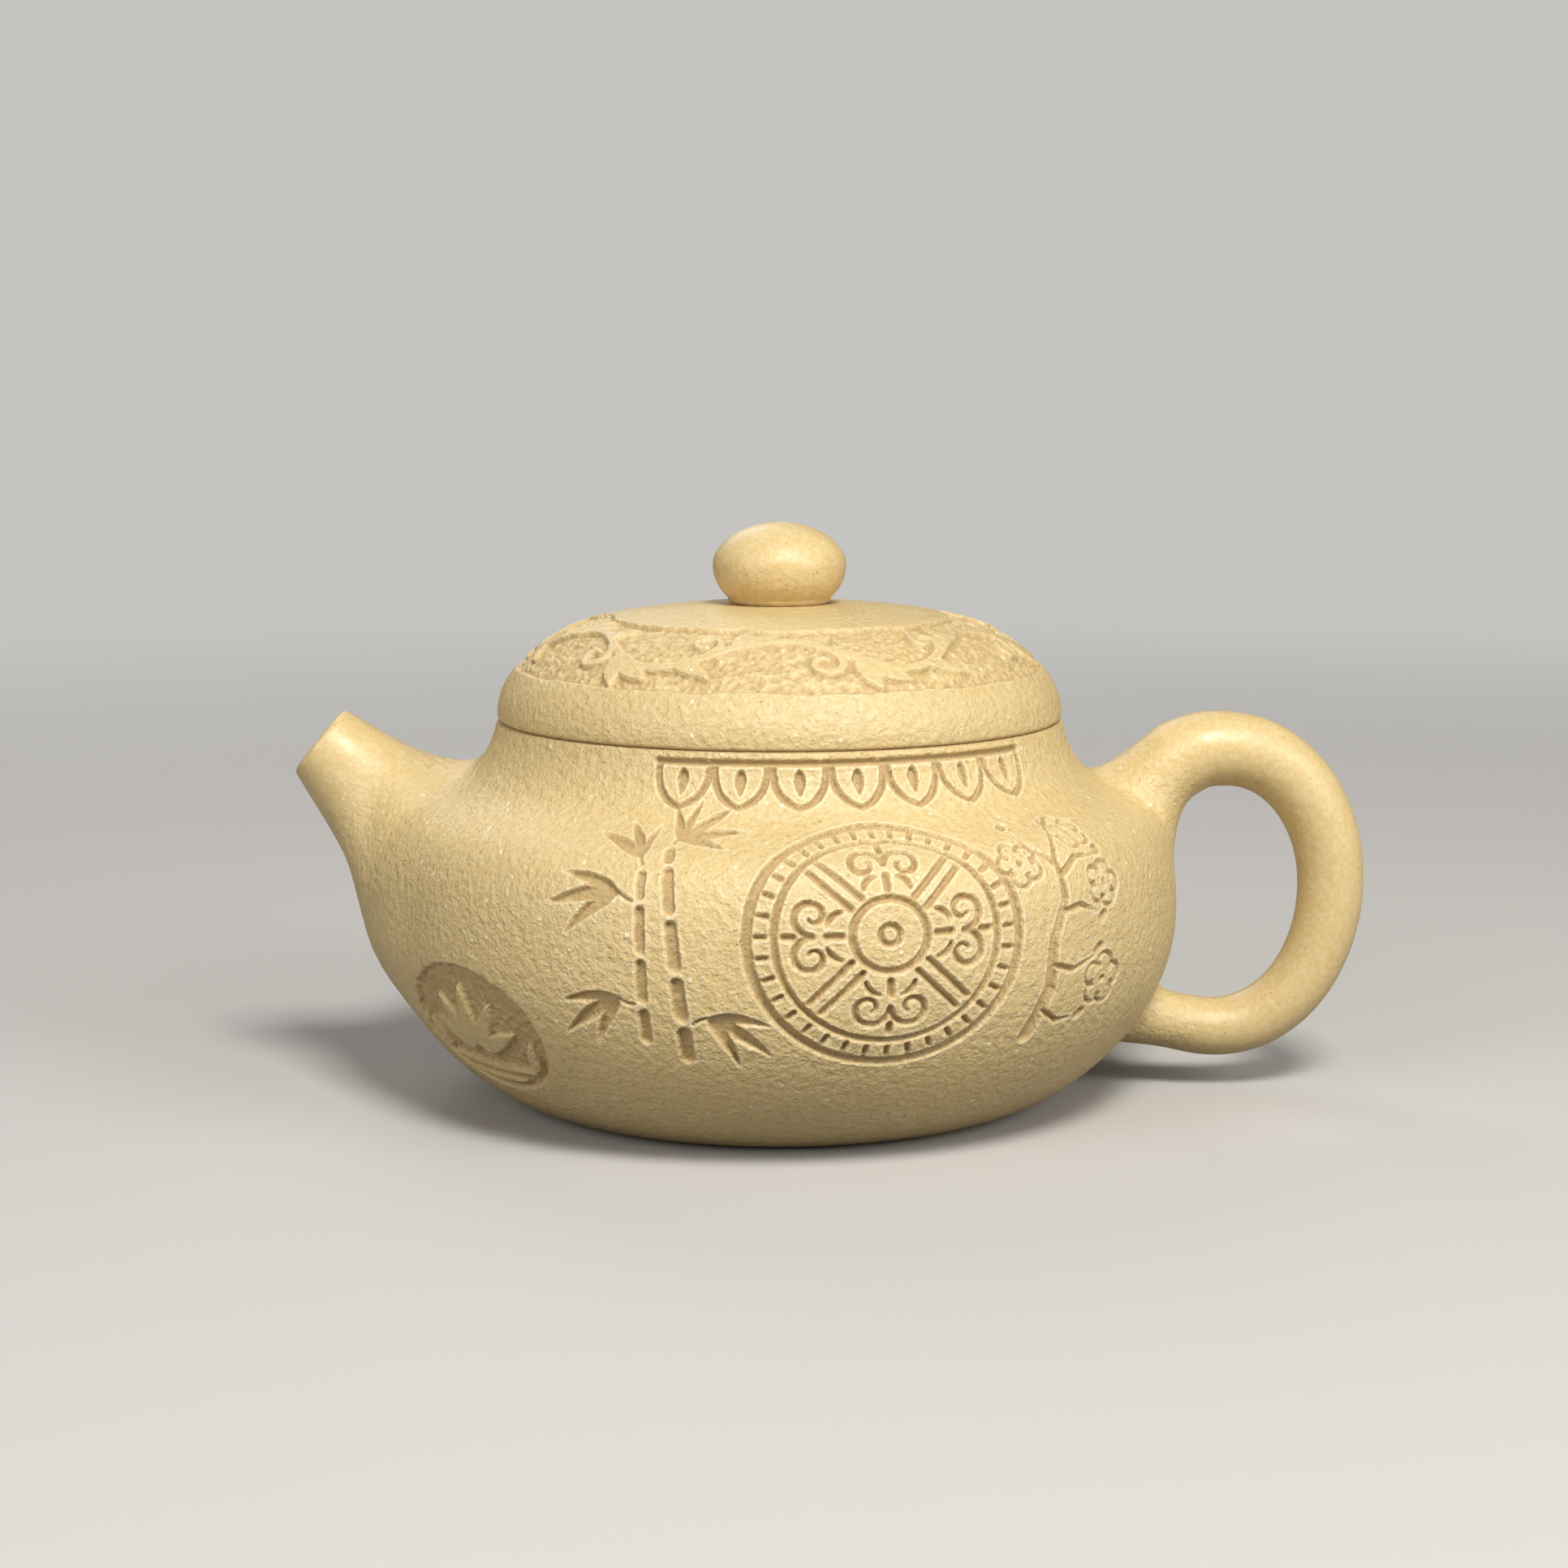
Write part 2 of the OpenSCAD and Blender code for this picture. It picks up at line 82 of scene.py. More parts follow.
FINE = 600  # steps on each cubic of an outline
CORNER_STEPS = 5  # steps round a rubbed edge
RING_STEPS = 160  # steps round a plain ring
WELD = 1e-6  # metres within which the points of a mesh are welded


# ---- settings ----


class TeapotSizes(bpy.types.PropertyGroup):
    belly_z: bpy.props.FloatProperty(
        name="Belly height", description="Height of the belly's widest line, in mm", default=25.2
    )
    wall: bpy.props.FloatProperty(
        name="Wall", description="Thickness of the pot's wall, in mm", default=2.8, min=1.0
    )
    lid_wall: bpy.props.FloatProperty(
        name="Lid wall", description="Thickness of the lid's dome, in mm", default=2.6, min=1.0
    )
    lid_rise: bpy.props.FloatProperty(
        name="Lid rise", description="Rise of the dome above the seam, in mm", default=15.0
    )
    knob_foot: bpy.props.FloatProperty(
        name="Knob foot", description="Radius of the knob at the lid, in mm", default=6.75
    )
    foot_ring: bpy.props.FloatProperty(
        name="Foot ring", description="Width of the ring that the pot stands on, in mm", default=5.5
    )
    foot_dish: bpy.props.FloatProperty(
        name="Foot hollow", description="Depth of the hollow under the base, in mm", default=1.2
    )
    root_swell: bpy.props.FloatProperty(
        name="Root swell", description="How far the clay is built up beside the spout, in mm", default=1.7
    )
    soft_edge: bpy.props.FloatProperty(
        name="Soft edge", description="Radius of the edges along the seam, in mm", default=0.6
    )
    unevenness: bpy.props.FloatProperty(
        name="Hand marks", description="How far the beaten wall wanders, in mm", default=0.035
    )


class TeapotCarving(bpy.types.PropertyGroup):
    cell: bpy.props.FloatProperty(
        name="Cell", description="Size of the mesh's cells under the carving, in mm", default=0.20
    )
    cuts: bpy.props.IntProperty(
        name="Cuts", description="How often the cells under the carving are cut again", default=3, min=1
    )
    slope: bpy.props.FloatProperty(
        name="Slope", description="Rise of a cut's side for each mm across it", default=2.6
    )
    cut_width: bpy.props.FloatProperty(
        name="Cut width", description="Width of a knife cut on the wall, in mm", default=1.05
    )
    cut_depth: bpy.props.FloatProperty(
        name="Cut depth", description="Depth of a knife cut on the wall, in mm", default=0.72
    )
    ground_depth: bpy.props.FloatProperty(
        name="Ground depth", description="Depth of the ground that is chiselled away, in mm", default=0.68
    )
    chisel: bpy.props.FloatProperty(
        name="Chisel marks", description="Height of the chisel's marks on that ground, in mm", default=0.46
    )


class TeapotColours(bpy.types.PropertyGroup):
    clay: bpy.props.FloatVectorProperty(
        name="Clay", description="Colour of the fired clay", subtype="COLOR", size=3,
        default=(0.638, 0.470, 0.206), min=0, max=1
    )
    pale: bpy.props.FloatVectorProperty(
        name="Pale grain", description="Colour of the pale sand in the clay", subtype="COLOR", size=3,
        default=(0.830, 0.730, 0.500), min=0, max=1
    )
    dark: bpy.props.FloatVectorProperty(
        name="Dark grain", description="Colour of the dark sand in the clay", subtype="COLOR", size=3,
        default=(0.200, 0.115, 0.055), min=0, max=1
    )
    # Painted shade in the knife cuts, on the chiselled ground, in the seam and in the knob's joint.
    cut: bpy.props.FloatVectorProperty(
        name="Cut clay", description="Colour of the clay that a knife has opened", subtype="COLOR", size=3,
        default=(0.420, 0.282, 0.122), min=0, max=1
    )
    floor: bpy.props.FloatVectorProperty(
        name="Floor", description="Colour of the floor", subtype="COLOR", size=3,
        default=(0.52, 0.51, 0.495), min=0, max=1
    )
    backdrop: bpy.props.FloatVectorProperty(
        name="Backdrop", description="Colour of the backdrop far behind", subtype="COLOR", size=3,
        default=(0.56, 0.55, 0.53), min=0, max=1
    )


# ---- outlines ----


def cubic(p, n):
    """n + 1 points on a cubic with the control points p."""
    p = np.array(p, float)
    t = np.linspace(0, 1, n + 1)[:, None]
    u = 1 - t
    return u**3 * p[0] + 3 * u * u * t * p[1] + 3 * u * t * t * p[2] + t**3 * p[3]


def polar(degrees, r=1.0):
    return np.array([r * math.cos(math.radians(degrees)), r * math.sin(math.radians(degrees))])


def join(*lines):
    """Lines of points end to end, with no point twice."""
    points = np.vstack(lines)
    step = np.hypot(*np.diff(points, axis=0).T)
    return points[np.r_[True, step > 1e-6]]


def run(points):
    """Length along a line up to each of its points."""
    return np.r_[0, np.cumsum(np.hypot(*np.diff(points, axis=0).T))]


def at(points, lengths, rows=None):
    """The points at those lengths along a line, or what lies there of the rows that go with its points."""
    s = run(points)
    rows = points if rows is None else rows
    return np.c_[np.interp(lengths, s, rows[:, 0]), np.interp(lengths, s, rows[:, 1])]


def normals(points):
    """Outward normals of a line that runs anticlockwise round its solid."""
    d = np.gradient(points, axis=0)
    d /= np.hypot(*d.T)[:, None]
    return np.c_[d[:, 1], -d[:, 0]]


def spaced(points, start, end, cell):
    """Points about a cell apart between two lengths along a line."""
    n = max(2, round(abs(end - start) / cell))
    return at(points, np.linspace(start, end, n + 1))


def arc(centre, r, start, end, n=40):
    """An arc round a centre, from one angle to another."""
    return np.array([np.array(centre) + polar(a, r) for a in np.linspace(start, end, n + 1)])


def corner(centre, r, start, end):
    """The arc of a rubbed edge."""
    return arc(centre, r, start, end, CORNER_STEPS)


def smooth(x):
    """0 below 0, 1 above 1, and an S-shaped rise between."""
    x = np.clip(x, 0, 1)
    return x * x * (3 - 2 * x)


def band(x, low, rise, high, fall):
    """0 outside low to high, and 1 between them past the rise after low and before the fall to high."""
    return smooth((x - low) / rise) * smooth((high - x) / fall)


# Pulls of the wall's outline, in mm: out along the table at the foot, down and up at the belly's widest
# line, and the neck's, out from the mouth and down from the seam.
FOOT_PULL = 5.5
BELLY_PULL_DOWN = 15.2
BELLY_PULL_UP_TO = SEAM_Z - 3.9
NECK_PULL = (3.5, 15.2)


def wall_line(sizes):
    """The pot's outline, foot to mouth."""
    z = sizes.belly_z
    lower = [(FOOT_R, 0), (FOOT_R + FOOT_PULL, 0), (BELLY_R, z - BELLY_PULL_DOWN), (BELLY_R, z)]
    neck = (MOUTH_R + NECK_PULL[0], SEAM_Z - NECK_PULL[1])
    upper = [(BELLY_R, z), (BELLY_R, BELLY_PULL_UP_TO), neck, (MOUTH_R, SEAM_Z)]
    return join(cubic(lower, FINE), cubic(upper, FINE))


# Where the swell beside the spout lies, as low, rise, high and fall in mm.
SWELL_ASIDE = (3, 9, 28, 16)
SWELL_UP = (11, 13, SEAM_Z - 9, 12)


def root_swell(sizes, azimuth, z):
    """How far the clay is built up on both sides of the spout's root."""
    aside = BELLY_R * (math.pi - np.abs(azimuth))
    return sizes.root_swell * band(aside, *SWELL_ASIDE) * band(z, *SWELL_UP)


def swelled_normals(sizes, azimuth, r, z, n2):
    """Normals of the built-up wall where the turned outline has the normals n2."""
    out = turned_round(n2, azimuth)
    sideways = np.c_[-np.sin(azimuth), np.cos(azimuth), 0 * azimuth]
    up = turned_round(np.c_[-n2[:, 1], n2[:, 0]], azimuth)
    step = 0.2
    slope_round = root_swell(sizes, azimuth + step / r, z) - root_swell(sizes, azimuth - step / r, z)
    slope_up = (root_swell(sizes, azimuth, z + step) - root_swell(sizes, azimuth, z - step)) * n2[:, 0]
    tilted = out - (slope_round / (2 * step))[:, None] * sideways - (slope_up / (2 * step))[:, None] * up
    return tilted / np.linalg.norm(tilted, axis=1)[:, None]


LID_EDGE = 0.83  # height above the seam up to which the lid's side is plumb
LID_TURN = (29.4, 3.95)  # where side and crown meet: radius, and depth below the top
LID_SLOPE = 142.2  # direction of the outline there, in degrees
LID_PULLS = (5.7, 1.4, 3.8)  # pulls up from the edge, back from the turn and on from it
CROWN_FLAT_R = 13.9  # radius of the pull that flattens the crown


def lid_line(sizes):
    """The lid's outline, from the seam to the middle of the dome."""
    edge = SEAM_Z + LID_EDGE
    top = SEAM_Z + sizes.lid_rise
    turn = np.array([LID_TURN[0], top - LID_TURN[1]])
    up, back, on = LID_PULLS
    side = [(MOUTH_R, edge), (MOUTH_R, edge + up), turn + polar(LID_SLOPE - 180, back), turn]
    crown = [turn, turn + polar(LID_SLOPE, on), (CROWN_FLAT_R, top), (0, top)]
    return join([(MOUTH_R, SEAM_Z)], cubic(side, FINE), cubic(crown, FINE))


# ---- making and finishing meshes ----


def deselect():
    bpy.ops.object.select_all(action="DESELECT")


def only(obj):
    deselect()
    obj.select_set(True)
    bpy.context.view_layer.objects.active = obj


def edit(obj, action="SELECT"):
    """Edit mode on one piece, with all of its mesh selected, or none."""
    only(obj)
    bpy.ops.object.mode_set(mode="EDIT")
    bpy.ops.mesh.select_all(action=action)


def leave_edit():
    bpy.ops.object.mode_set(mode="OBJECT")


def drawn_line(name, points):
    """An outline in the plane of the front, -Y, drawn as a curve and made a mesh."""
    deselect()
    bpy.ops.curve.primitive_bezier_curve_add()
    obj = bpy.context.object
    obj.data.splines.clear()
    spline = obj.data.splines.new("POLY")
    spline.points.add(len(points) - 1)
    for point, (r, z) in zip(spline.points, points):
        point.co = (0, -r * MM, z * MM, 1)
    bpy.ops.object.convert(target="MESH")
    obj = bpy.context.object
    obj.name = name
    obj.data.name = name
    return obj


def lathe(name, outline, sectors):
    """A closed outline spun round Z. Each sector is (degrees, steps), and the first starts at -Y."""
    obj = drawn_line(name, join(outline, outline[:1]))
    edit(obj)
    bpy.ops.mesh.remove_doubles(threshold=WELD)
    for degrees, steps in sectors:
        bpy.ops.mesh.spin(
            steps=steps, angle=-math.radians(degrees), center=(0, 0, 0), axis=(0, 0, 1), dupli=False
        )
    bpy.ops.mesh.select_all(action="SELECT")
    bpy.ops.mesh.remove_doubles(threshold=WELD)
    bpy.ops.mesh.normals_make_consistent(inside=False)
    leave_edit()
    bpy.ops.object.shade_smooth_by_angle(angle=math.radians(50))
    return obj


def vectors(items, key):
    """A vector from each of a mesh's vertices or faces, as rows."""
    values = np.empty(len(items) * 3)
    items.foreach_get(key, values)
    return values.reshape(-1, 3)


def coordinates(obj):
    """The piece's vertices, in millimetres."""
    return vectors(obj.data.vertices, "co") / MM


def set_coordinates(obj, co):
    obj.data.vertices.foreach_set("co", (co * MM).ravel())
    obj.data.update()


def keep_attribute(obj, name, values):
    """A number on each vertex, for the piece's material."""
    layer = obj.data.attributes.new(name, "FLOAT", "POINT")
    layer.data.foreach_set("value", np.asarray(values, np.float32))


def soft_noise(co, size, seed):
    """A smooth random field over points in millimetres, about -1 to 1."""
    shift = Vector((seed * 17.3, seed * 5.1, seed * 9.7))
    return np.array([noise.noise(Vector(p) / size + shift) for p in co])


def pits(co, size, seed):
    """Cell-like marks of a given size: 0 at each mark's middle, 1 and more between them."""
    shift = Vector((seed * 3.7, seed * 8.9, seed * 1.3))
    return np.array([noise.voronoi(Vector(p) / size + shift)[0][0] for p in co])


# ---- materials ----


def colour(values):
    return (*values, 1.0)


def darker(values, share):
    return colour([c * share for c in values])


def material(name):
    return bpy.data.materials.get(name) or bpy.data.materials.new(name)


class Graph:
    """The nodes of a material or a world, cleared and then added and linked one by one."""

    def __init__(self, owner):
        owner.use_nodes = True
        self.tree = owner.node_tree
        self.tree.nodes.clear()

    def add(self, kind, values=None, **settings):
        node = self.tree.nodes.new(kind)
        for key, value in settings.items():
            setattr(node, key, value)
        for key, value in (values or {}).items():
            if isinstance(value, bpy.types.NodeSocket):
                self.tree.links.new(value, node.inputs[key])
            else:
                node.inputs[key].default_value = value
        return node

    def noise(self, where, scale, detail=2.0, roughness=0.5):
        values = {"Vector": where, "Scale": scale, "Detail": detail, "Roughness": roughness}
        return self.add("ShaderNodeTexNoise", values).outputs["Fac"]

    def ramp(self, value, low, high, to_low=0.0, to_high=1.0):
        values = {0: value, 1: low, 2: high, 3: to_low, 4: to_high}
        return self.add("ShaderNodeMapRange", values, interpolation_type="SMOOTHSTEP").outputs[0]

    def maths(self, operation, a, b=0.0):
        return self.add("ShaderNodeMath", {0: a, 1: b}, operation=operation).outputs[0]

    def blend(self, factor, a, b):
        return self.add("ShaderNodeMix", {0: factor, 6: a, 7: b}, data_type="RGBA").outputs[2]

    def over(self, shade, tint, strength, *masks):
        """The shade under a tint that is as strong as the product of the strength and the masks."""
        for mask in masks:
            strength = self.maths("MULTIPLY", mask, strength)
        return self.blend(strength, shade, tint)

    def total(self, *parts):
        """The sum of (value, weight) pairs."""
        weighed = [self.maths("MULTIPLY", value, weight) for value, weight in parts]
        result = weighed[0]
        for part in weighed[1:]:
            result = self.maths("ADD", result, part)
        return result

    def bump(self, height, distance):
        values = {"Height": height, "Distance": distance, "Strength": 1.0}
        return self.add("ShaderNodeBump", values).outputs["Normal"]


def specks(g, where, scale, size, share):
    """Round specks of one size of sand: 1 inside a speck. Only a share of the cells holds one."""
    cell = g.add("ShaderNodeTexVoronoi", {"Vector": where, "Scale": scale})
    inside = g.ramp(cell.outputs["Distance"], size, size * 0.6)
    drawn = g.add("ShaderNodeSeparateColor", {"Color": cell.outputs["Color"]}).outputs[0]
    return g.maths("MULTIPLY", inside, g.maths("LESS_THAN", drawn, share))


# Noise: features to the metre, detail and roughness.
DRIFT = (38.0, 3.0, 0.55)
MOTTLE = (1300.0, 3.0, 0.6)
PEEL = (950.0, 2.0, 0.55)
SAND = (2700.0, 2.0, 0.6)
RUBBED = (300.0, 2.0, 0.5)
# Specks: cells to the metre, a speck's size in its cell, and the share of cells that hold one.
FINE_SAND = (1500.0, 0.30, 0.40)
COARSE_SAND = (560.0, 0.22, 0.20)
DARK_SAND = (1150.0, 0.20, 0.08)
DARK_GRIT = (420.0, 0.085, 0.10)
HOLLOWS = (1000.0, 0.24, 0.14)
PEEL_HEIGHT = 0.00032  # metres


def clay_material(name, colours, grain, roughness, wander):
    """Unglazed sandy clay. grain sets how coarse it feels, and wander how far its colour drifts."""
    clay = material(name)
    g = Graph(clay)
    where = g.add("ShaderNodeTexCoord").outputs["Object"]
    pale = colour(colours.pale)
    dark = colour(colours.dark)
    # The carved attribute: painted shade where it is above 0, painted highlight where it is below.
    knife = g.add("ShaderNodeAttribute", attribute_name="carved").outputs["Fac"]
    carved = g.maths("MAXIMUM", knife, 0.0)
    burr_highlight = g.ramp(knife, 0.0, -1.0)
    burnished = g.add("ShaderNodeAttribute", attribute_name="burnished").outputs["Fac"]
    sandy = g.maths("SUBTRACT", 1.0, g.maths("MULTIPLY", burnished, 0.8))

    drift = g.ramp(g.noise(where, *DRIFT), 0.35, 0.68)
    mottle = g.ramp(g.noise(where, *MOTTLE), 0.38, 0.66)
    fine = specks(g, where, *FINE_SAND)
    coarse = specks(g, where, *COARSE_SAND)
    shade = g.over(colour(colours.clay), darker(colours.clay, 0.86), wander, drift)
    shade = g.over(shade, pale, 0.22, mottle)
    shade = g.over(shade, pale, 0.45, fine, sandy)
    shade = g.over(shade, pale, 0.78, coarse, sandy)
    shade = g.over(shade, dark, 0.45, specks(g, where, *DARK_SAND))
    shade = g.over(shade, dark, 0.80, specks(g, where, *DARK_GRIT))
    # Painted shade in the cuts, on the chiselled ground, in the seam and round the knob's foot.
    shade = g.over(shade, colour(colours.cut), 0.70, carved)
    # Painted highlight on the burrs and along the ground's rim.
    shade = g.over(shade, pale, 0.55, burr_highlight)

    height = g.total(
        (g.noise(where, *PEEL), 1.15), (g.noise(where, *SAND), 0.35),
        (fine, 0.22), (coarse, 0.22), (specks(g, where, *HOLLOWS), -0.30)
    )
    bumped = g.bump(g.maths("MULTIPLY", height, sandy), PEEL_HEIGHT * grain)

    gloss = g.ramp(g.noise(where, *RUBBED), 0.3, 0.7, roughness - 0.05, roughness + 0.08)
    gloss = g.total((gloss, 1.0), (carved, 0.15), (burnished, -0.06))
    shader = g.add("ShaderNodeBsdfPrincipled", {
        "Base Color": shade, "Roughness": gloss, "Normal": bumped,
        "IOR": 1.5, "Specular IOR Level": 0.6
    })
    g.add("ShaderNodeOutputMaterial", {"Surface": shader.outputs[0]})


def clays(scene):
    """The three finishes of the same clay."""
    colours = scene.teapot_colours
    clay_material("clay_body", colours, 1.0, 0.47, 0.50)
    clay_material("clay_lid", colours, 0.85, 0.44, 0.45)
    clay_material("clay_smooth", colours, 0.8, 0.47, 0.45)


def finish_piece(obj, body, slot, *nodes):
    """Gives a piece its clay and its place on a body, and hides the CAD nodes that it stands for."""
    obj.data.materials.clear()
    obj.data.materials.append(bpy.data.materials[slot])
    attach(obj, body)
    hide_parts(*nodes)


# ---- strokes of the knife ----
# A stroke is an array of (across, up, half-width) rows, in millimetres on a flat sheet.


TAPER_SHARE = 0.3  # share of a stroke's length over which an end tapers
TINY = 1e-9  # a length that is as good as none
TINY_SQUARE = 1e-12  # a squared length that is as good as none


def stroke(points, half, taper=(1.0, 1.0)):
    """A line of points as a stroke. taper scales its half-width at its two ends."""
    points = np.asarray(points, float)
    s = run(points) / max(run(points)[-1], TINY)
    start, end = taper
    widening = np.minimum(1, start + (1 - start) * s / TAPER_SHARE)
    narrowing = np.minimum(1, end + (1 - end) * (1 - s) / TAPER_SHARE)
    return np.c_[points, half * widening * narrowing]


def bowed(a, b, bow, n=8):
    """Points from a to b along a shallow arc that stands bow off the straight line."""
    a = np.array(a, float)
    b = np.array(b, float)
    t = np.linspace(0, 1, n + 1)[:, None]
    side = np.array([a[1] - b[1], b[0] - a[0]]) / np.hypot(*(b - a))
    return a + t * (b - a) + 4 * bow * t * (1 - t) * side


def spiral(centre, r, inner, start, end, n=30):
    """A scroll from radius r at the angle start to the inner radius at the angle end."""
    angles = np.linspace(start, end, n + 1)
    radii = np.linspace(r, inner, n + 1)
    return np.array([np.array(centre) + polar(a, q) for a, q in zip(angles, radii)])


def turned(strokes, angle, centre=(0, 0)):
    """Strokes turned about the sheet's origin and then moved to a centre."""
    c, s = polar(angle)
    spin = np.array([[c, s], [-s, c]])
    return [np.c_[k[:, :2] @ spin + np.array(centre), k[:, 2]] for k in strokes]


def leaf(base, angle, length, half, bow=0.5):
    """A leaf in one stroke: full near its foot, drawn out to a fine tip."""
    along = bowed(base, np.array(base) + polar(angle, length), bow, 12)
    blunt, fullest, fullness = 0.06, 0.62, 0.8
    t = blunt + (1 - blunt) * np.linspace(0, 1, len(along))
    return np.c_[along, half * np.sin(math.pi * t**fullest) ** fullness]


# The roundel's rings, in mm: radius, share of a line's width, and steps round.
RINGS = ((16.0, 1.2, 96), (13.0, 0.9, 96), (4.3, 0.95, 96), (1.15, 0.8, 12))
TEETH = 36
TEETH_FROM, TEETH_TO = 14.0, 15.0
QUARTERS = 4
BAR_FROM, BAR_TO, BAR_ASIDE = 5.3, 12.0, 0.9
STEM_FROM, STEM_TO, BUD_FROM, BUD_TO = 5.5, 7.2, 10.9, 11.9
SCROLL_AT = (8.8, 2.4)
SCROLL_R, SCROLL_INNER_R = 2.4, 0.5
CURL_AT = (5.2, 0.9)
CURL_R = 1.95


def cloud_roundel(line):
    """A tile-end ornament: rings, a boss, crossing bars and a pair of scrolls in each quarter."""
    strokes = [stroke(arc((0, 0), r, 0, 360, n), line * width) for r, width, n in RINGS]
    for k in range(TEETH):
        angle = 360 * k / TEETH
        strokes.append(stroke([polar(angle, TEETH_FROM), polar(angle, TEETH_TO)], line * 0.75))
    bars = []
    scrolls = [
        stroke([(STEM_FROM, 0), (STEM_TO, 0)], line * 0.9),
        stroke([(BUD_FROM, 0), (BUD_TO, 0)], line * 0.9),
    ]
    for side in (-1, 1):
        aside = side * BAR_ASIDE
        bars.append(stroke([(BAR_FROM, aside), (BAR_TO, aside)], line * 0.85))
        centre = (SCROLL_AT[0], side * SCROLL_AT[1])
        scroll = spiral(centre, SCROLL_R, SCROLL_INNER_R, -side * 90, side * 320)
        scrolls.append(stroke(scroll, line * 0.85, (1, 0.6)))
        curl = arc((CURL_AT[0], side * CURL_AT[1]), CURL_R, side * 10, side * 80, 6)
        scrolls.append(stroke(curl, line * 0.8, (0.5, 0.7)))
    for k in range(QUARTERS):
        strokes += turned(bars, 45 + 90 * k) + turned(scrolls, 90 * k)
    return strokes


def spray(foot, twig, reach_mm, leaves, line):
    """A twig with leaves that fan out from its tip. Each leaf is (angle, length)."""
    tip = np.array(foot) + polar(twig, reach_mm)
    strokes = [stroke(bowed(foot, tip, 0.15), line * 0.45)]
    for angle, length in leaves:
        base = tip + polar(angle, 0.5)
        bow = 0.35 if math.cos(math.radians(angle)) > 0 else -0.35
        strokes.append(leaf(base, angle, length, 0.10 * length + 0.1, bow))
    return strokes


# Canes: foot, lean in degrees, lengths of the joints and half-width.
CANES = (
    ((-22.8, -16.5), 94.0, (5.6, 6.2, 6.8, 6.6, 3.4), 0.92),
    ((-27.6, -14.0), 90.5, (5.2, 6.0, 6.4, 4.4), 0.74),
)
# Sprays: cane, joint, step off the joint, direction and length of the twig, and its leaves.
SPRAYS = (
    (0, 0, (1.2, 0.2), 25, 2.0, ((-64, 7.0), (-36, 8.4), (-8, 6.6))),
    (0, 4, (0.2, 0.6), 70, 1.2, ((112, 5.6), (74, 6.2), (40, 8.0), (10, 8.6), (-18, 6.6))),
    (1, 0, (-1.0, 0.2), 160, 2.0, ((188, 6.8), (216, 8.4), (244, 6.8))),
    (1, 2, (-1.0, 0.2), 150, 2.2, ((166, 7.2), (194, 8.8), (222, 7.8))),
    (1, 3, (-0.2, 0.6), 110, 1.4, ((86, 5.4), (122, 7.0), (152, 8.4))),
)
CANE_BENDS = 1.5  # degrees that a cane leans on at each joint
CANE_THINS = 0.06  # how much thinner each half-width is than the last
CANE_GAP = 0.26  # plain clay left at a joint


def bamboo(line):
    """Two jointed canes with sprays of leaves, rising past the left of the roundel."""
    strokes = []
    joints = []
    for foot, lean, lengths, half in CANES:
        joint = np.array(foot)
        joints.append([])
        for length in lengths:
            end = joint + polar(lean, length)
            gap = polar(lean, half + CANE_GAP)
            strokes.append(stroke([joint + gap, end - gap], half))
            joints[-1].append(end)
            joint = end
            lean += CANE_BENDS
            half -= CANE_THINS
    for cane, joint, step, twig, reach_mm, leaves in SPRAYS:
        strokes += spray(joints[cane][joint] + step, twig, reach_mm, leaves, line)
    return strokes


PLUM_LIMB = ((18.2, -14.4), (20.6, -8.6), (21.0, -2.8), (23.4, 2.2), (23.6, 7.4), (26.4, 12.2))
PLUM_LIMB_HALF = (1.05, 0.95, 0.75, 0.62, 0.45, 0.2)
PLUM_TWIGS = (
    ((20.9, -5.6), (24.2, -6.6), (27.6, -5.4)),
    ((22.6, 0.6), (25.8, 1.2), (28.6, 0.0)),
    ((23.5, 5.0), (27.0, 7.2), (30.6, 7.0)),
    ((23.5, 6.4), (20.4, 9.6), (19.6, 12.6)),
    ((19.6, -11.0), (22.6, -13.0), (25.2, -12.8)),
)
# Flowers: across, up, radius of a petal and tilt in degrees.
PLUM_FLOWERS = ((29.6, -8.6, 1.45, 10), (17.9, 7.4, 1.35, 40), (30.6, 3.2, 1.25, 70), (29.2, 11.4, 1.35, 25))
PLUM_BUDS = ((28.6, -4.6), (29.6, -0.8), (31.6, 7.6), (19.4, 13.8), (26.3, -12.6), (27.0, 13.6))
PETALS = 5


def plum_flower(r):
    """Open petals round a dot, at the sheet's origin."""
    strokes = []
    for k in range(PETALS):
        angle = 360 * k / PETALS
        strokes.append(stroke(arc(polar(angle, 1.3 * r), r, angle - 112, angle + 112, 12), 0.3))
    return strokes + [stroke([(-0.2, 0), (0.2, 0)], 0.42)]


def plum():
    """A plum branch with open flowers and buds, on the right of the roundel."""
    strokes = [np.c_[PLUM_LIMB, PLUM_LIMB_HALF]]
    strokes += [stroke(points, 0.42, (1.0, 0.3)) for points in PLUM_TWIGS]
    for x, y, r, tilt in PLUM_FLOWERS:
        strokes += turned(plum_flower(r), tilt, (x, y))
    for x, y in PLUM_BUDS:
        strokes.append(stroke([(x - 0.3, y - 0.2), (x + 0.3, y + 0.2)], 0.62))
    return strokes


# The lotus: direction, length and half-width of each petal.
LOTUS_PETALS = ((90, 9.8, 1.15), (58, 9.2, 1.10), (122, 9.2, 1.10), (28, 8.8, 1.0), (152, 8.8, 1.0))
LOTUS_HEART = 1.8  # radius at which the petals start
LOTUS_DOWN = 3.0  # how far its heart lies under the medallion's middle
WATER = ((-5.0, 8.6), (-7.1, 5.4))


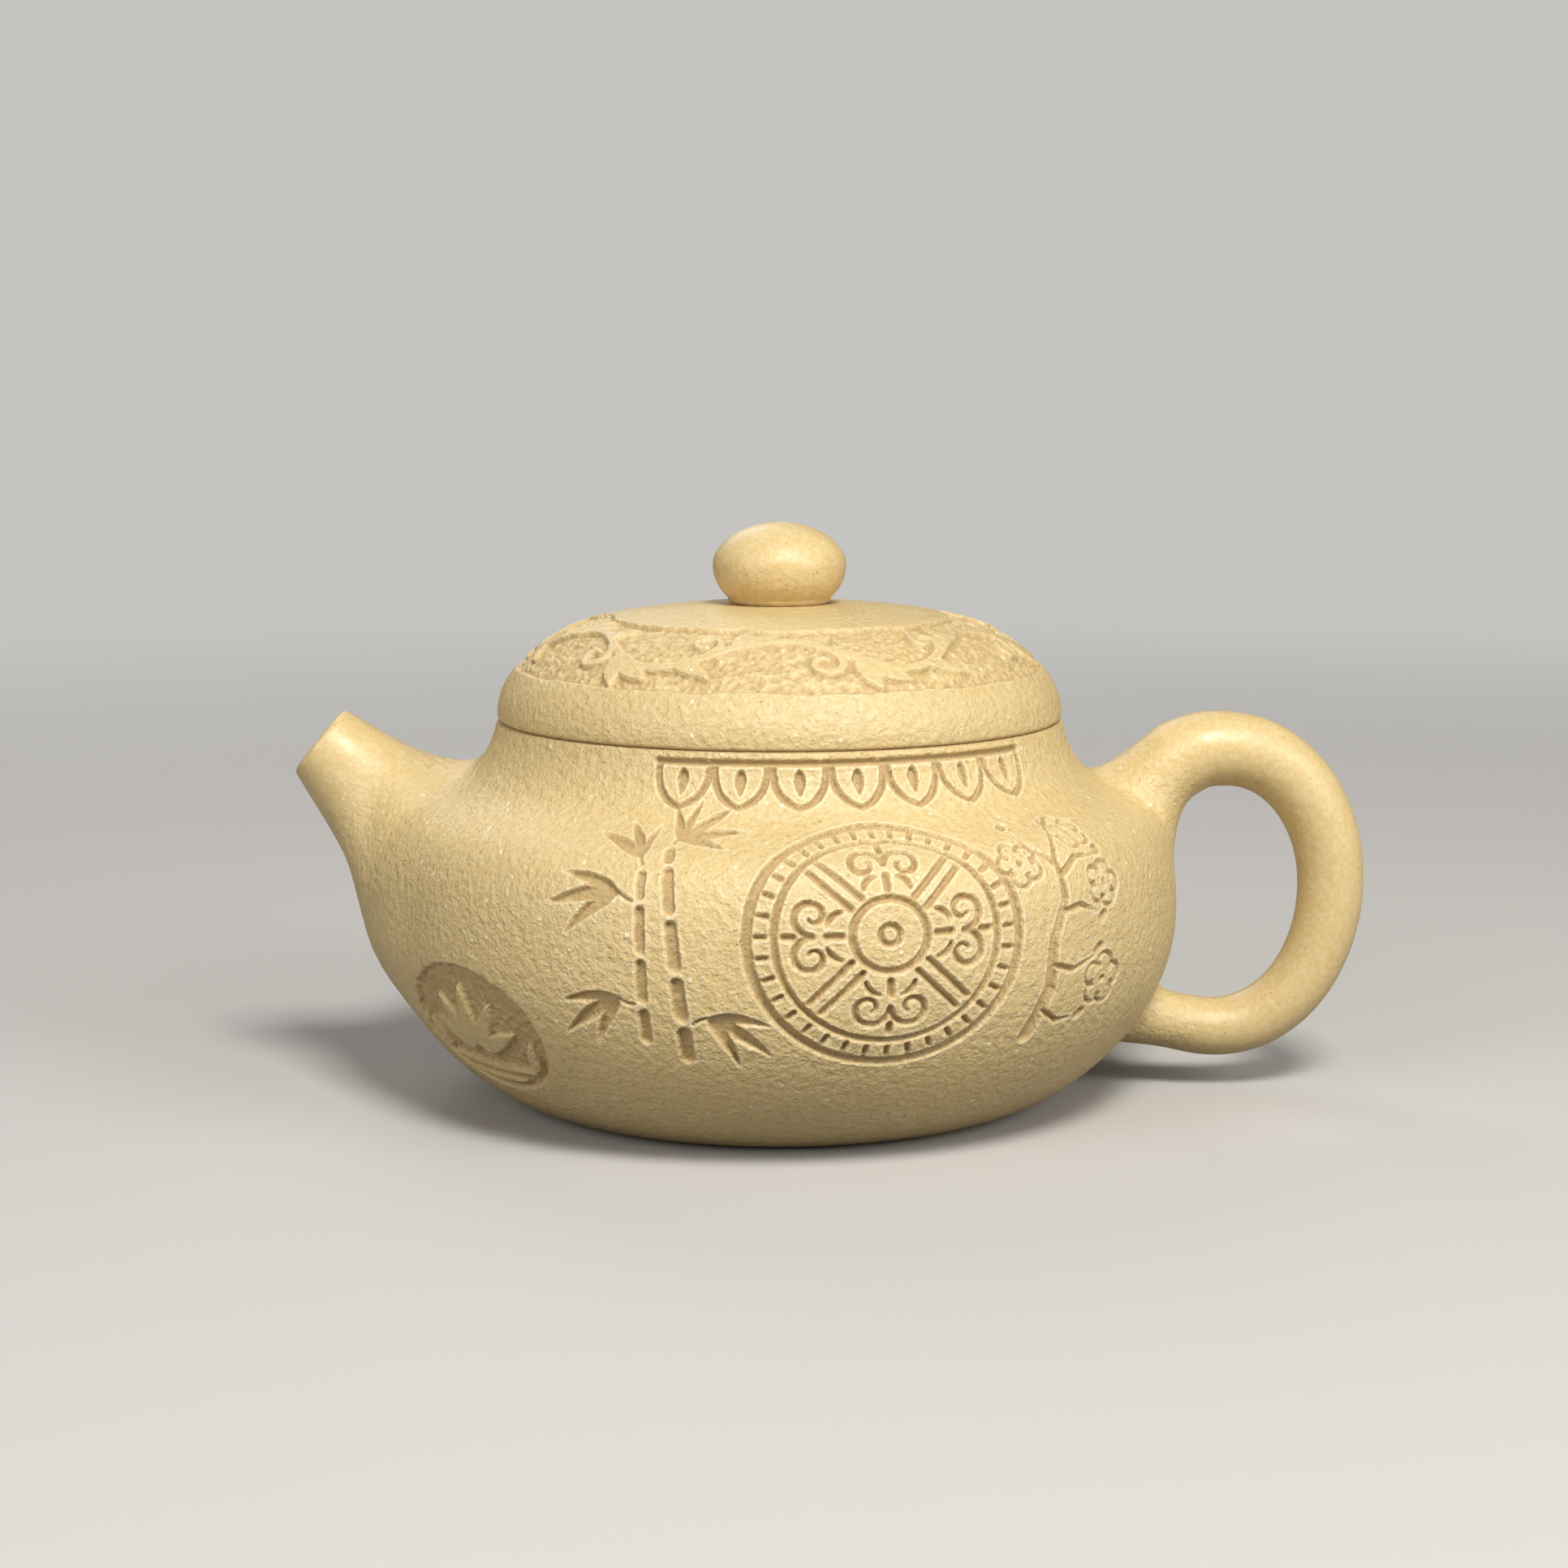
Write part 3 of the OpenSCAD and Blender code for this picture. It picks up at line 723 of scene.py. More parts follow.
def lotus():
    """A small lotus over lines of water, which stand plain on a sunk ground."""
    strokes = []
    for angle, length, half in LOTUS_PETALS:
        base = polar(angle, LOTUS_HEART) - (0, LOTUS_DOWN)
        strokes.append(leaf(base, angle, length - LOTUS_HEART, half, 0.0))
    for side in (-1, 1):
        strokes.append(leaf((side * 9.4, -3.9), 90 - side * 10, 4.2, 0.75, 0.0))
    for y, half_length in WATER:
        line = bowed((-half_length, y), (half_length, y), -0.4)
        strokes.append(stroke(line, 0.42, (0.4, 0.4)))
    return strokes


LAPPETS = 7
LAPPET = (7.4, 5.8)  # width and height of a hanging petal


def lappets(line):
    """A row of hanging petals for the shoulder, each with a bead in it."""
    wide, tall = LAPPET
    end = LAPPETS * wide / 2
    strokes = [stroke([(-end, 0.0), (end, 0.0)], line * 0.9)]
    for k in range(LAPPETS):
        x = (k + 0.5) * wide - end
        for side in (-1, 1):
            edge = bowed((x + side * 0.46 * wide, -0.7), (x, -tall), side * 1.0, 12)
            strokes.append(stroke(edge, line * 0.95, (1, 0.8)))
        strokes.append(leaf((x, -1.2), -90, 3.0, 0.75, 0.0))
    return strokes


FAR = 1e9  # a distance that any other one beats
SEARCH = 2.0  # mm from a stroke within which distances to it count


def nearest_on(points, a, b):
    """Share of the way from a to b at which each point is nearest to that line, and its distance there."""
    ab = b - a
    t = np.clip(((points - a) * ab).sum(-1) / np.maximum((ab**2).sum(-1), TINY_SQUARE), 0, 1)
    return t, np.hypot(*(points - a - t[:, None] * ab).T)


def to_edge(points, strokes):
    """Distance from points to the nearest stroke's edge, negative inside it, with the nearest point on
    that stroke's middle and its half-width there."""
    best = np.full(len(points), FAR)
    foot = np.zeros_like(points)
    half = np.zeros(len(points))
    for s in strokes:
        margin = s[:, 2].max() + SEARCH
        low = s[:, :2].min(0) - margin
        high = s[:, :2].max(0) + margin
        near = np.where(((points > low) & (points < high)).all(1))[0]
        if len(near) == 0:
            continue
        q = points[near]
        for a, b in zip(s[:-1], s[1:]):
            t, d = nearest_on(q, a[:2], b[:2])
            f = a + t[:, None] * (b - a)
            d -= f[:, 2]
            closer = d < best[near]
            best[near[closer]] = d[closer]
            foot[near[closer]] = f[closer, :2]
            half[near[closer]] = f[closer, 2]
    return best, foot, half


class Patch:
    """A flat sheet laid on a turned wall: across it is measured round the wall, up it along the outline."""

    def __init__(self, line, place, strokes):
        azimuth, height, wall_r = place
        self.azimuth = math.radians(azimuth)
        self.wall_r = wall_r
        self.start = np.interp(height, line[:, 1], run(line))
        self.strokes = strokes

    def to_sheet(self, azimuth, length):
        turn = (azimuth - self.azimuth + math.pi) % (2 * math.pi) - math.pi
        return np.c_[turn * self.wall_r, length - self.start]

    def to_wall(self, sheet):
        return self.azimuth + sheet[:, 0] / self.wall_r, sheet[:, 1] + self.start


ON_LINE = 0.03  # mm from the outline within which a point lies on it
FACE_SAG = 0.05  # the same for the middle of a face, which lies a little deeper


def on_outline(co, line, tolerance=ON_LINE):
    """Which points lie on the outline, with the azimuth and the length along it of every point."""
    rz = flattened(co)
    s = run(line)
    skip = 4
    coarse = np.arange(0, len(line), skip)
    at_once = 4000
    which = []
    length = []
    for first in range(0, len(rz), at_once):
        block = rz[first:first + at_once]
        d2 = ((block[:, None, :] - line[None, coarse, :]) ** 2).sum(2)
        k = coarse[d2.argmin(1)]
        low = np.clip(k - skip, 0, len(line) - 1)
        high = np.clip(k + skip, 0, len(line) - 1)
        best = np.full(len(block), FAR)
        length_here = np.zeros(len(block))
        for a, b in ((low, k), (k, high)):
            t, d = nearest_on(block, line[a], line[b])
            closer = d < best
            best[closer] = d[closer]
            length_here[closer] = (s[a] + t * (s[b] - s[a]))[closer]
        which.append(best < tolerance)
        length.append(length_here)
    return np.concatenate(which), np.arctan2(co[:, 1], co[:, 0]), np.concatenate(length)


def outer_points(obj, line, start, end):
    """A piece's points, and for those between two lengths along the outline their indices, azimuths
    and lengths."""
    co = coordinates(obj)
    which, azimuth, length = on_outline(co, line)
    index = np.where(which & (length > start) & (length < end))[0]
    return co, index, azimuth[index], length[index]


def carve(obj, line, sizes, co, index, azimuth, length, depth, painted_shading):
    """Sets the indexed points at their depth under the outline, and keeps the painted shade and highlight of
    the carving, the seam and the knob's joint.
    """
    under = at(line, length) - depth[:, None] * at(line, length, normals(line))
    co[index] = turned_round(under, azimuth)
    set_coordinates(obj, co)
    carved = seam_painted_shade(co) + knob_joint_shade(co, sizes)
    carved[index] += painted_shading
    keep_attribute(obj, "carved", carved)


def refine(obj, chosen, cuts):
    """Subdivides the chosen faces, so that a knife cut has cells enough."""
    edit(obj, "DESELECT")
    bpy.ops.mesh.select_mode(type="FACE")
    leave_edit()
    obj.data.polygons.foreach_set("select", chosen)
    bpy.ops.object.mode_set(mode="EDIT")
    bpy.ops.mesh.subdivide(number_cuts=cuts)
    bpy.ops.mesh.select_mode(type="VERT")
    leave_edit()


def face_middles(obj):
    """The middles of a piece's faces, in millimetres."""
    return vectors(obj.data.polygons, "center") / MM


def ridge(e, height, middle, wide):
    """That height where e is at the middle, and less to both sides of it."""
    return height * np.exp(-(((e - middle) / wide) ** 2))


WAVER = (0.07, 1.1, 6)  # how far a knife's edge wavers in mm, over what length, and its seed
BURR = (0.04, 0.16, 0.14)  # height of the burr beside a cut, its distance from it and its width
BURR_HIGHLIGHT = 25  # how strongly its height shows as painted highlight in the clay's colour
CUT_SHADE_RISE = 0.15  # mm inside a cut's edge over which its painted shade comes in


def knife_cuts(sheet, strokes, carving):
    """Points of a sheet pulled onto the edges of the cuts, how deep each then lies, and the painted shade
    inside each cut with the painted highlight on the burr beside it.
    """
    e, foot, half = to_edge(sheet, strokes)
    waver, size, seed = WAVER
    e -= waver * soft_noise(np.c_[sheet, np.zeros(len(sheet))], size, seed) * (e < 3)
    away = sheet - foot
    away /= np.maximum(np.hypot(*away.T), TINY)[:, None]
    edge = (np.abs(e) < 0.5 * carving.cell) & (half > 0.15)
    sheet = np.where(edge[:, None], sheet - away * e[:, None], sheet)
    e = np.where(edge, 0, e)
    depth = np.minimum(carving.slope * np.clip(-e, 0, None), carving.cut_depth)
    burr_highlight = ridge(e, *BURR) * (e > 1e-6)
    return sheet, depth - burr_highlight, smooth(-e / CUT_SHADE_RISE) - BURR_HIGHLIGHT * burr_highlight * (e < 1)


SEAM_SHADE = (1.5, 0.22, 0.1)  # strength, mm up and down over which it fades, and mm in from the side
KNOB_SHADE = (0.9, 0.7, 0.9)  # strength, and mm out and up over which it fades


def seam_painted_shade(co):
    """1 deep in the seam between the lid and the mouth, where painted shade darkens the clay, and 0
    elsewhere.
    """
    r, z = flattened(co).T
    strength, over, inside = SEAM_SHADE
    return smooth(strength - np.abs(z - SEAM_Z) / over) * (r < MOUTH_R - inside)


def knob_joint_shade(co, sizes):
    """The shade deep in the joint round the knob's foot, and 0 elsewhere."""
    r, z = flattened(co).T
    strength, out, up = KNOB_SHADE
    shade = strength * smooth(1 - np.abs(r - sizes.knob_foot) / out)
    return shade * smooth(1 - np.abs(z - KNOB_SEAT_Z) / up)


GROUND_SIDE = 0.30  # mm over which a chiselled ground sinks to its depth
GROUND_SHADE = 0.38  # painted shade on the ground where it has no mark
CHIPS = (1.05, 5)  # size and seed of the chisel's marks
# How strongly the chisel marks show as painted shade in their hollows and painted highlight on their tops.
CHIPS_SHADING = 1.9
CRUMBS = (0.45, 0.42, 9)  # strength, size and seed of the crumbs on them
# Along the ground's rim, as strength, distance from it and width: the painted highlight outside, the painted
# shade inside.
RIM_HIGHLIGHT = (0.45, 0.14, 0.14)
RIM_SHADE = (0.9, -0.36, 0.30)


def chiselled(co, e, carving):
    """Depth of a ground that is chiselled away where e, the distance to its edge, is negative, and its
    painted shade in the marks' hollows and inside the rim, with painted highlight on their tops and outside
    the rim."""
    sunk = smooth(-e / GROUND_SIDE)
    strength, size, seed = CRUMBS
    marks = pits(co, *CHIPS) - 0.5 + strength * soft_noise(co, size, seed)
    painted_shading = (GROUND_SHADE + ridge(e, *RIM_SHADE) - CHIPS_SHADING * marks).clip(-0.7, 1)
    burr_highlight = ridge(e, *RIM_HIGHLIGHT) * (e > 0)
    return sunk * (carving.ground_depth - carving.chisel * marks), sunk * painted_shading - burr_highlight


# ---- the pot's wall ----

FRONT = -90.0  # azimuth of the side that is turned to the viewer
# Where each sheet of carving is laid: azimuth, height, and radius at which it is as wide as drawn.
ROUNDEL_SHEET = (FRONT + 14.5, 30.2, 49.0)
LAPPETS_SHEET = (FRONT + 14.5, 48.6, 39.5)
MEDALLION_SHEET = (FRONT - 49.5, 14.3, 48.0)
MEDALLION = (12.6, 9.5)  # half of its width and of its height
# Degrees of the wall round, anticlockwise from the front, that are fine, coarse and fine again.
SECTORS = (56, 227, 77)
COARSE_CELL = 2.2
FOOT_CELL = 1.4
INNER_CELL = 4.0
CARVED_FROM_Z = 7.0  # height from which the wall's cells are fine
CUT_BESIDE = (0.75, 0.12)  # shares of a cell, and mm more, beside a stroke that are cut again
WALL_WAVES = (9.0, 1)  # size in mm and seed of the wall's unevenness
RIM_NICK = 0.3  # how far the medallion's rim wanders in mm
RIM_NICKS = (1.6, 8)  # size in mm and seed of the nicks in it
MEDALLION_SHADE = 0.95  # least painted shade on its sunk ground


def past_rim(sheet):
    """Distance of points of the medallion's sheet from its oval rim, negative inside."""
    wide, tall = MEDALLION
    return np.hypot(sheet[:, 0] * tall / wide, sheet[:, 1]) - tall


def turn_wall(sizes, line, cell):
    """The wall, shoulder, neck and mouth, burnished into one skin, with cells of that size to carve."""
    s = run(line)
    carved_from = np.interp(CARVED_FROM_Z, line[:, 1], s)
    edge = sizes.soft_edge
    outside = join(
        spaced(line, 0, carved_from, FOOT_CELL),
        spaced(line, carved_from, s[-1] - edge, cell),
    )
    mouth = join(
        corner((MOUTH_R - edge, SEAM_Z - edge), edge, 0, 90),
        corner((BORE_R + edge, SEAM_Z - edge), edge, 90, 180),
        corner((BORE_R + edge, SHOULDER_Z + edge), edge, 180, 270),
    )
    inner = line - sizes.wall * normals(line)
    inner = inner[inner[:, 1] < SHOULDER_Z]
    inside = spaced(inner, run(inner)[-1], 0, INNER_CELL)
    outline = join(outside, mouth, [(inner[-1, 0], SHOULDER_Z)], inside, [(FOOT_R, 0)])
    sectors = zip(SECTORS, (cell, COARSE_CELL, cell))
    steps = [(degrees, round(math.radians(degrees) * BELLY_R / size)) for degrees, size in sectors]
    return lathe("pot_wall", outline, steps)


def sunk_medallion(co, sheet, strokes, carving):
    """Depth of the chiselled ground round the lotus, which stands plain, and its painted shade and
    highlight.
    """
    e, _, _ = to_edge(sheet, strokes)
    e = np.maximum(past_rim(sheet) + RIM_NICK * soft_noise(co, *RIM_NICKS), -e)
    depth, painted_shading = chiselled(co, e, carving)
    return depth, np.maximum(painted_shading, MEDALLION_SHADE * smooth(-e / GROUND_SIDE))


def make_wall(sizes, carving):
    """The pot's wall, with the ornament on its front, shoulder and left."""
    line = wall_line(sizes)
    cell = carving.cell * (carving.cuts + 1)
    wall = turn_wall(sizes, line, cell)
    half = carving.cut_width / 2
    patches = (
        Patch(line, ROUNDEL_SHEET, cloud_roundel(half) + bamboo(half) + plum()),
        Patch(line, LAPPETS_SHEET, lappets(half)),
    )
    medallion = Patch(line, MEDALLION_SHEET, lotus())
    which, azimuth, length = on_outline(face_middles(wall), line, FACE_SAG)
    chosen = past_rim(medallion.to_sheet(azimuth, length)) < 1
    for patch in patches:
        e, _, _ = to_edge(patch.to_sheet(azimuth, length), patch.strokes)
        chosen |= e < CUT_BESIDE[0] * cell + CUT_BESIDE[1]
    refine(wall, chosen & which, carving.cuts)

    end = run(line)[-1] - sizes.soft_edge
    co, index, az, along = outer_points(wall, line, 0.01, end - 0.01)
    depth = -sizes.unevenness * soft_noise(co[index], *WALL_WAVES)
    depth -= root_swell(sizes, az, co[index, 2])
    # Painted shade and highlight of the sunk medallion and of the knife cuts.
    painted_shading = np.zeros(len(index))
    sheet = medallion.to_sheet(az, along)
    inside = np.where(past_rim(sheet) < 1)[0]
    sunk, marks = sunk_medallion(co[index][inside], sheet[inside], medallion.strokes, carving)
    depth[inside] += sunk
    painted_shading[inside] = marks
    for patch in patches:
        sheet = patch.to_sheet(az, along)
        pulled, cut, mask = knife_cuts(sheet, patch.strokes, carving)
        moved = np.hypot(*(pulled - sheet).T) > TINY
        new_az, new_along = patch.to_wall(pulled)
        az = np.where(moved, new_az, az)
        along = np.where(moved, new_along, along)
        depth += cut
        painted_shading = np.where(np.abs(mask) > np.abs(painted_shading), mask, painted_shading)
    carve(wall, line, sizes, co, index, az, along, depth, painted_shading)
    return wall


# ---- spout and handle ----


def merged_copy(node, name):
    """The CAD node's mesh as one skin of quads, on a piece of its own."""
    deselect()
    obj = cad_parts[node].copy()
    obj.data = obj.data.copy()
    obj.parent = None
    for key in list(obj.keys()):
        del obj[key]
    obj.name = name
    obj.data.name = name
    bpy.context.scene.collection.objects.link(obj)
    edit(obj)
    bpy.ops.mesh.remove_doubles(threshold=WELD)
    flat = math.radians(70)
    bpy.ops.mesh.tris_convert_to_quads(face_threshold=flat, shape_threshold=flat)
    leave_edit()
    return obj


def subdivide(obj, levels):
    only(obj)
    modifier = obj.modifiers.new("skin", "SUBSURF")
    modifier.levels = levels
    modifier.render_levels = levels
    modifier.boundary_smooth = "PRESERVE_CORNERS"
    bpy.ops.object.modifier_apply(modifier=modifier.name)


ROOT_SINK = 0.32  # mm by which a root's edge is sunk into the wall
ROOT_H = 2.6  # height over the wall up to which it is sunk
BURNISHED_H = (2.0, 9.0)  # where burnishing starts over the wall, and over what height it comes in
BUILD_UP_H = 12  # height over the wall up to which clay is built up
SKIN_WAVES = (7.0, 3)  # size in mm and seed of the skin's unevenness
SKIN_WAVE_DEPTH = 0.05
BLEND_H = (0.1, 1.3)  # where the skin's normals leave those of the wall, and over what height
FACES_OUT = 0.3  # how far a normal has to agree with the wall's to face outward
EVERY = 6  # of the outline's points, the ones that a skin is compared with


def luted_skin(node, name, sizes):
    """A spout or handle whose root runs out into the wall with no edge."""
    obj = merged_copy(node, name)
    subdivide(obj, 2)
    line = wall_line(sizes)[::EVERY]
    wall_normals = normals(line)
    co = coordinates(obj)
    rz = flattened(co)
    d2 = ((rz[:, None, :] - line[None, :, :]) ** 2).sum(2)
    k = d2.argmin(1)
    n2 = wall_normals[k]
    height = ((rz - line[k]) * n2).sum(1)
    azimuth = np.arctan2(co[:, 1], co[:, 0])
    out = turned_round(n2, azimuth)
    near = smooth(1 - height / ROOT_H)
    start, over = BURNISHED_H
    keep_attribute(obj, "burnished", smooth((height - start) / over))
    only(obj)
    bpy.ops.object.shade_smooth()
    skin = vectors(obj.data.vertices, "normal")
    faces_out = smooth((skin * out).sum(1) / FACES_OUT)
    build_up = root_swell(sizes, azimuth, line[k, 1]) * smooth(1 - height / BUILD_UP_H) * faces_out
    co += build_up[:, None] * skin
    co -= (ROOT_SINK * near)[:, None] * out
    co += (SKIN_WAVE_DEPTH * (1 - near) * soft_noise(co, *SKIN_WAVES))[:, None] * out
    set_coordinates(obj, co)
    skin = vectors(obj.data.vertices, "normal")
    outside = (skin * out).sum(1) > FACES_OUT
    start, over = BLEND_H
    share = (smooth(1 - (height - start) / over) * outside)[:, None]
    mixed = skin * (1 - share) + swelled_normals(sizes, azimuth, rz[:, 0], line[k, 1], n2) * share
    mixed /= np.linalg.norm(mixed, axis=1)[:, None]
    obj.data.normals_split_custom_set_from_vertices(mixed)
    return obj


# ---- the lid ----

PANEL_R = 28.0  # radius at which the lid's panel is laid out flat
PANEL = (-8.4, 6.1)  # its lower and upper edge, from that radius
PANEL_RUN = (36.4, 20.5)  # radii between which the lid's mesh is fine
VINE_WAVES = 12
VINE_PERIOD = 2 * math.pi * PANEL_R / VINE_WAVES
VINE_Y = -1.2  # the stem's middle line
VINE_SWING = 3.3
# Leaves along a wave: where they stand, direction to the stem's side, length and half-width.
VINE_LEAVES = ((0.66, 78, 5.2, 1.15), (0.70, 38, 5.6, 1.25), (0.22, -30, 4.6, 1.0))
LID_SIDE_CELL = 0.9
CROWN_CELL = 1.5
LID_INNER_CELL = 3.5
LID_WAVES = (8.0, 2)  # size in mm and seed of the lid's unevenness
PANEL_WAVES = (6.0, 4)  # the same for the wander of the panel's edges
PANEL_NICKS = (1.3, 8)  # and for the nicks in its edges and the vine's
PANEL_WANDER = (0.35, 0.8)  # how far the lower and the upper edge wander, in mm
EDGE_NICK = 0.22
VINE_NICK = 0.08
CUT_PAST = (1.2, 1.6)  # mm past those edges to which the cells are cut again


def stem_at(k, t):
    """The point of the vine's stem at the share t of its wave k."""
    side = 1 if k % 2 == 0 else -1
    return (k + t) * VINE_PERIOD, VINE_Y - side * VINE_SWING * np.cos(math.pi * t)


def vine():
    """A running vine for the lid's panel: a waving stem with leaves and tendrils that stand plain."""
    strokes = []
    for k in range(VINE_WAVES):
        side = 1 if k % 2 == 0 else -1
        strokes.append(stroke(np.c_[stem_at(k, np.linspace(0, 1, 17))], 0.55))
        centre = ((k + 0.36) * VINE_PERIOD, side * 1.9 + VINE_Y)
        tendril = spiral(centre, 2.3, 0.7, -side * 60, side * 300, 24)
        strokes.append(stroke(tendril, 0.42, (1, 0.7)))
        for foot, angle, length, half in VINE_LEAVES:
            strokes.append(leaf(stem_at(k, foot), side * angle, length, half, 0.3 * side))
    around = VINE_WAVES * VINE_PERIOD
    return strokes + [s - [around, 0, 0] for s in strokes if s[:, 0].max() > around - 8]


def lengths_at(line, *radii):
    """Lengths along the lid's outline at which it has those radii."""
    return np.interp([-r for r in radii], -line[:, 0], run(line))


def turn_lid(sizes, line, cell):
    """The dome and its seat plate, closed up into one shell, with cells of that size to carve."""
    edge = sizes.soft_edge
    low, high, vent = lengths_at(line, *PANEL_RUN, VENT_R)
    outside = join(
        corner((MOUTH_R - edge, SEAM_Z + edge), edge, 270, 360),
        spaced(line, edge, low, LID_SIDE_CELL),
        spaced(line, low, high, cell),
        spaced(line, high, vent, CROWN_CELL),
    )
    inner = line - sizes.lid_wall * normals(line)
    inner = inner[(inner[:, 1] > PLATE_TOP) & (inner[:, 0] > VENT_R)]
    inside = spaced(inner, run(inner)[-1], 0, LID_INNER_CELL)
    seat = [(FLANGE_IN_R, PLATE_TOP), (FLANGE_IN_R, SEAM_Z)]
    steps = round(2 * math.pi * PANEL_R / cell)
    return lathe("lid_shell", join(outside, inside, seat), [(360, steps)])


def make_lid(sizes, carving):
    """The lid, with the carved panel round its knob."""
    line = lid_line(sizes)
    lid = turn_lid(sizes, line, carving.cell * (carving.cuts + 1))
    middle, vent = lengths_at(line, PANEL_R, VENT_R)
    lower, upper = PANEL
    which, _, length = on_outline(face_middles(lid), line, FACE_SAG)
    below, above = CUT_PAST
    chosen = which & (length > middle + lower - below) & (length < middle + upper + above)
    refine(lid, chosen, carving.cuts)

    co, index, az, along = outer_points(lid, line, sizes.soft_edge + 0.02, vent - 0.5)
    sheet = np.c_[az % (2 * math.pi) * PANEL_R, along - middle]
    wander = soft_noise(co[index] * [1, 1, 0], *PANEL_WAVES)
    nick = soft_noise(co[index], *PANEL_NICKS)
    lower_e = lower + PANEL_WANDER[0] * wander + EDGE_NICK * nick - sheet[:, 1]
    upper_e = sheet[:, 1] - upper - PANEL_WANDER[1] * wander - EDGE_NICK * nick
    e, _, _ = to_edge(sheet, vine())
    e = np.maximum(np.maximum(lower_e, upper_e), VINE_NICK * nick - e)
    # marks holds the panel's painted shade and highlight.
    depth, marks = chiselled(co[index], e, carving)
    depth -= 0.5 * sizes.unevenness * soft_noise(co[index], *LID_WAVES)
    carve(lid, line, sizes, co, index, az, along, depth, marks)
    return lid


def make_flange(sizes):
    """The ring under the lid, with its lower edges rubbed round."""
    edge = 2 * sizes.soft_edge
    inner_side = np.array([(FLANGE_IN_R, SEAM_Z), (FLANGE_IN_R, FLANGE_Z + edge)])
    outline = join(
        spaced(inner_side, 0, SEAM_Z - FLANGE_Z - edge, 2),
        corner((FLANGE_IN_R + edge, FLANGE_Z + edge), edge, 180, 270),
        corner((FLANGE_R - edge, FLANGE_Z + edge), edge, 270, 360),
        [(FLANGE_R, SEAM_Z)],
    )
    return lathe("lid_flange_ring", outline, [(360, RING_STEPS)])


KNOB_EDGE = 0.75  # radius of the rubbed edge at the knob's foot
KNOB_WAIST = 0.483  # share of the height at which the knob is widest
KNOB_PULLS = (0.9, 2.9, 0.74, 0.56)  # pulls at its foot, under and over the waist, and at its top
KNOB_OVER = 1.007  # share of its height at which its outline would end with no vent
KNOB_SUNK = 0.05  # mm by which its sole is set into the lid
VENT_EDGE = 0.25  # radius of the rubbed edge at the vent's mouth
VENT_SIDE = 0.3  # mm from the vent's side at which the crown ends
VENT_DROP = 0.27  # mm down from there to the middle of the rubbed edge


def make_knob(sizes):
    """The knob, turned from a ball of clay, with its vent."""
    h = (KNOB_TOP - KNOB_SEAT_Z) * KNOB_OVER
    foot = sizes.knob_foot
    waist = KNOB_SEAT_Z + KNOB_WAIST * h
    top = KNOB_SEAT_Z + h
    start = KNOB_SEAT_Z + KNOB_EDGE
    out, under, over, flat = KNOB_PULLS
    low = [(foot, start), (foot + out, start + out), (KNOB_R, KNOB_SEAT_Z + under), (KNOB_R, waist)]
    high = [(KNOB_R, waist), (KNOB_R, KNOB_SEAT_Z + over * h), (flat * KNOB_R, top), (0, top)]
    crown = cubic(high, 40)
    crown = crown[crown[:, 0] > VENT_R + VENT_SIDE]
    rim = corner((VENT_R + VENT_EDGE, crown[-1, 1] - VENT_DROP), VENT_EDGE, 85, 180)
    sole = KNOB_SEAT_Z - KNOB_SUNK
    outline = join(
        corner((foot - KNOB_EDGE, start), KNOB_EDGE, 275, 360), cubic(low, 24), crown, rim,
        [(VENT_R, KNOB_SEAT_Z + 4), (VENT_R, sole), (foot - KNOB_EDGE, sole)]
    )
    knob = lathe("lid_knob", outline, [(360, 96)])
    keep_attribute(knob, "burnished", np.full(len(knob.data.vertices), 0.7))
    # Painted shade in the joint round its foot.
    keep_attribute(knob, "carved", knob_joint_shade(coordinates(knob), sizes))
    return knob


def make_base(sizes):
    """The base disc, pressed hollow underneath."""
    hollow = FOOT_R - sizes.foot_ring
    under = [(r, sizes.foot_dish * (1 - (r / hollow) ** 2)) for r in np.linspace(0, hollow, 12)]
    top = [(r, BASE_T) for r in np.linspace(FOOT_R, 0, 8)]
    return lathe("pot_base", join(under, [(FOOT_R, 0)], top), [(360, RING_STEPS)])


def make_strainer():
    """The perforated thimble behind the spout."""
    obj = merged_copy("strainer", "spout_strainer")
    only(obj)
    bpy.ops.object.shade_smooth_by_angle(angle=math.radians(35))
    return obj


# ---- stage ----

FLOOR = 4  # metres along each side
BACKDROP = 3  # height of the backdrop
BEND = 1.2  # radius of the bend between them
GLOW = (0.16, 0.75)  # distances over which the floor fades into the plain backdrop
BOUNCE = 0.45  # share of the floor's colour that the pot sees
SKY = (1.0, 0.985, 0.96, 1.0)
SKY_STRENGTH = 0.12
LAMP_AIM = Vector((0, 0, 0.035))
# Lamps: name, place, size, power and colour.
LAMPS = (
    ("key", (0.16, -0.55, 0.74), 0.26, 7.7, (1.0, 0.975, 0.93)),
    ("left", (-0.68, -0.68, 0.48), 0.50, 3.6, (1.0, 0.98, 0.95)),
    ("right", (0.76, -0.55, 0.46), 0.50, 4.6, (1.0, 0.98, 0.95)),
    ("back", (-0.25, 0.70, 0.60), 0.50, 2.0, (1.0, 0.99, 0.97)),
)
CAMERA_AT = (0.0006, -0.400, 0.0983)
CAMERA_DOWN = 8.19  # degrees that it looks down
CAMERA_LENS = 69.96
CAMERA_SENSOR = 36


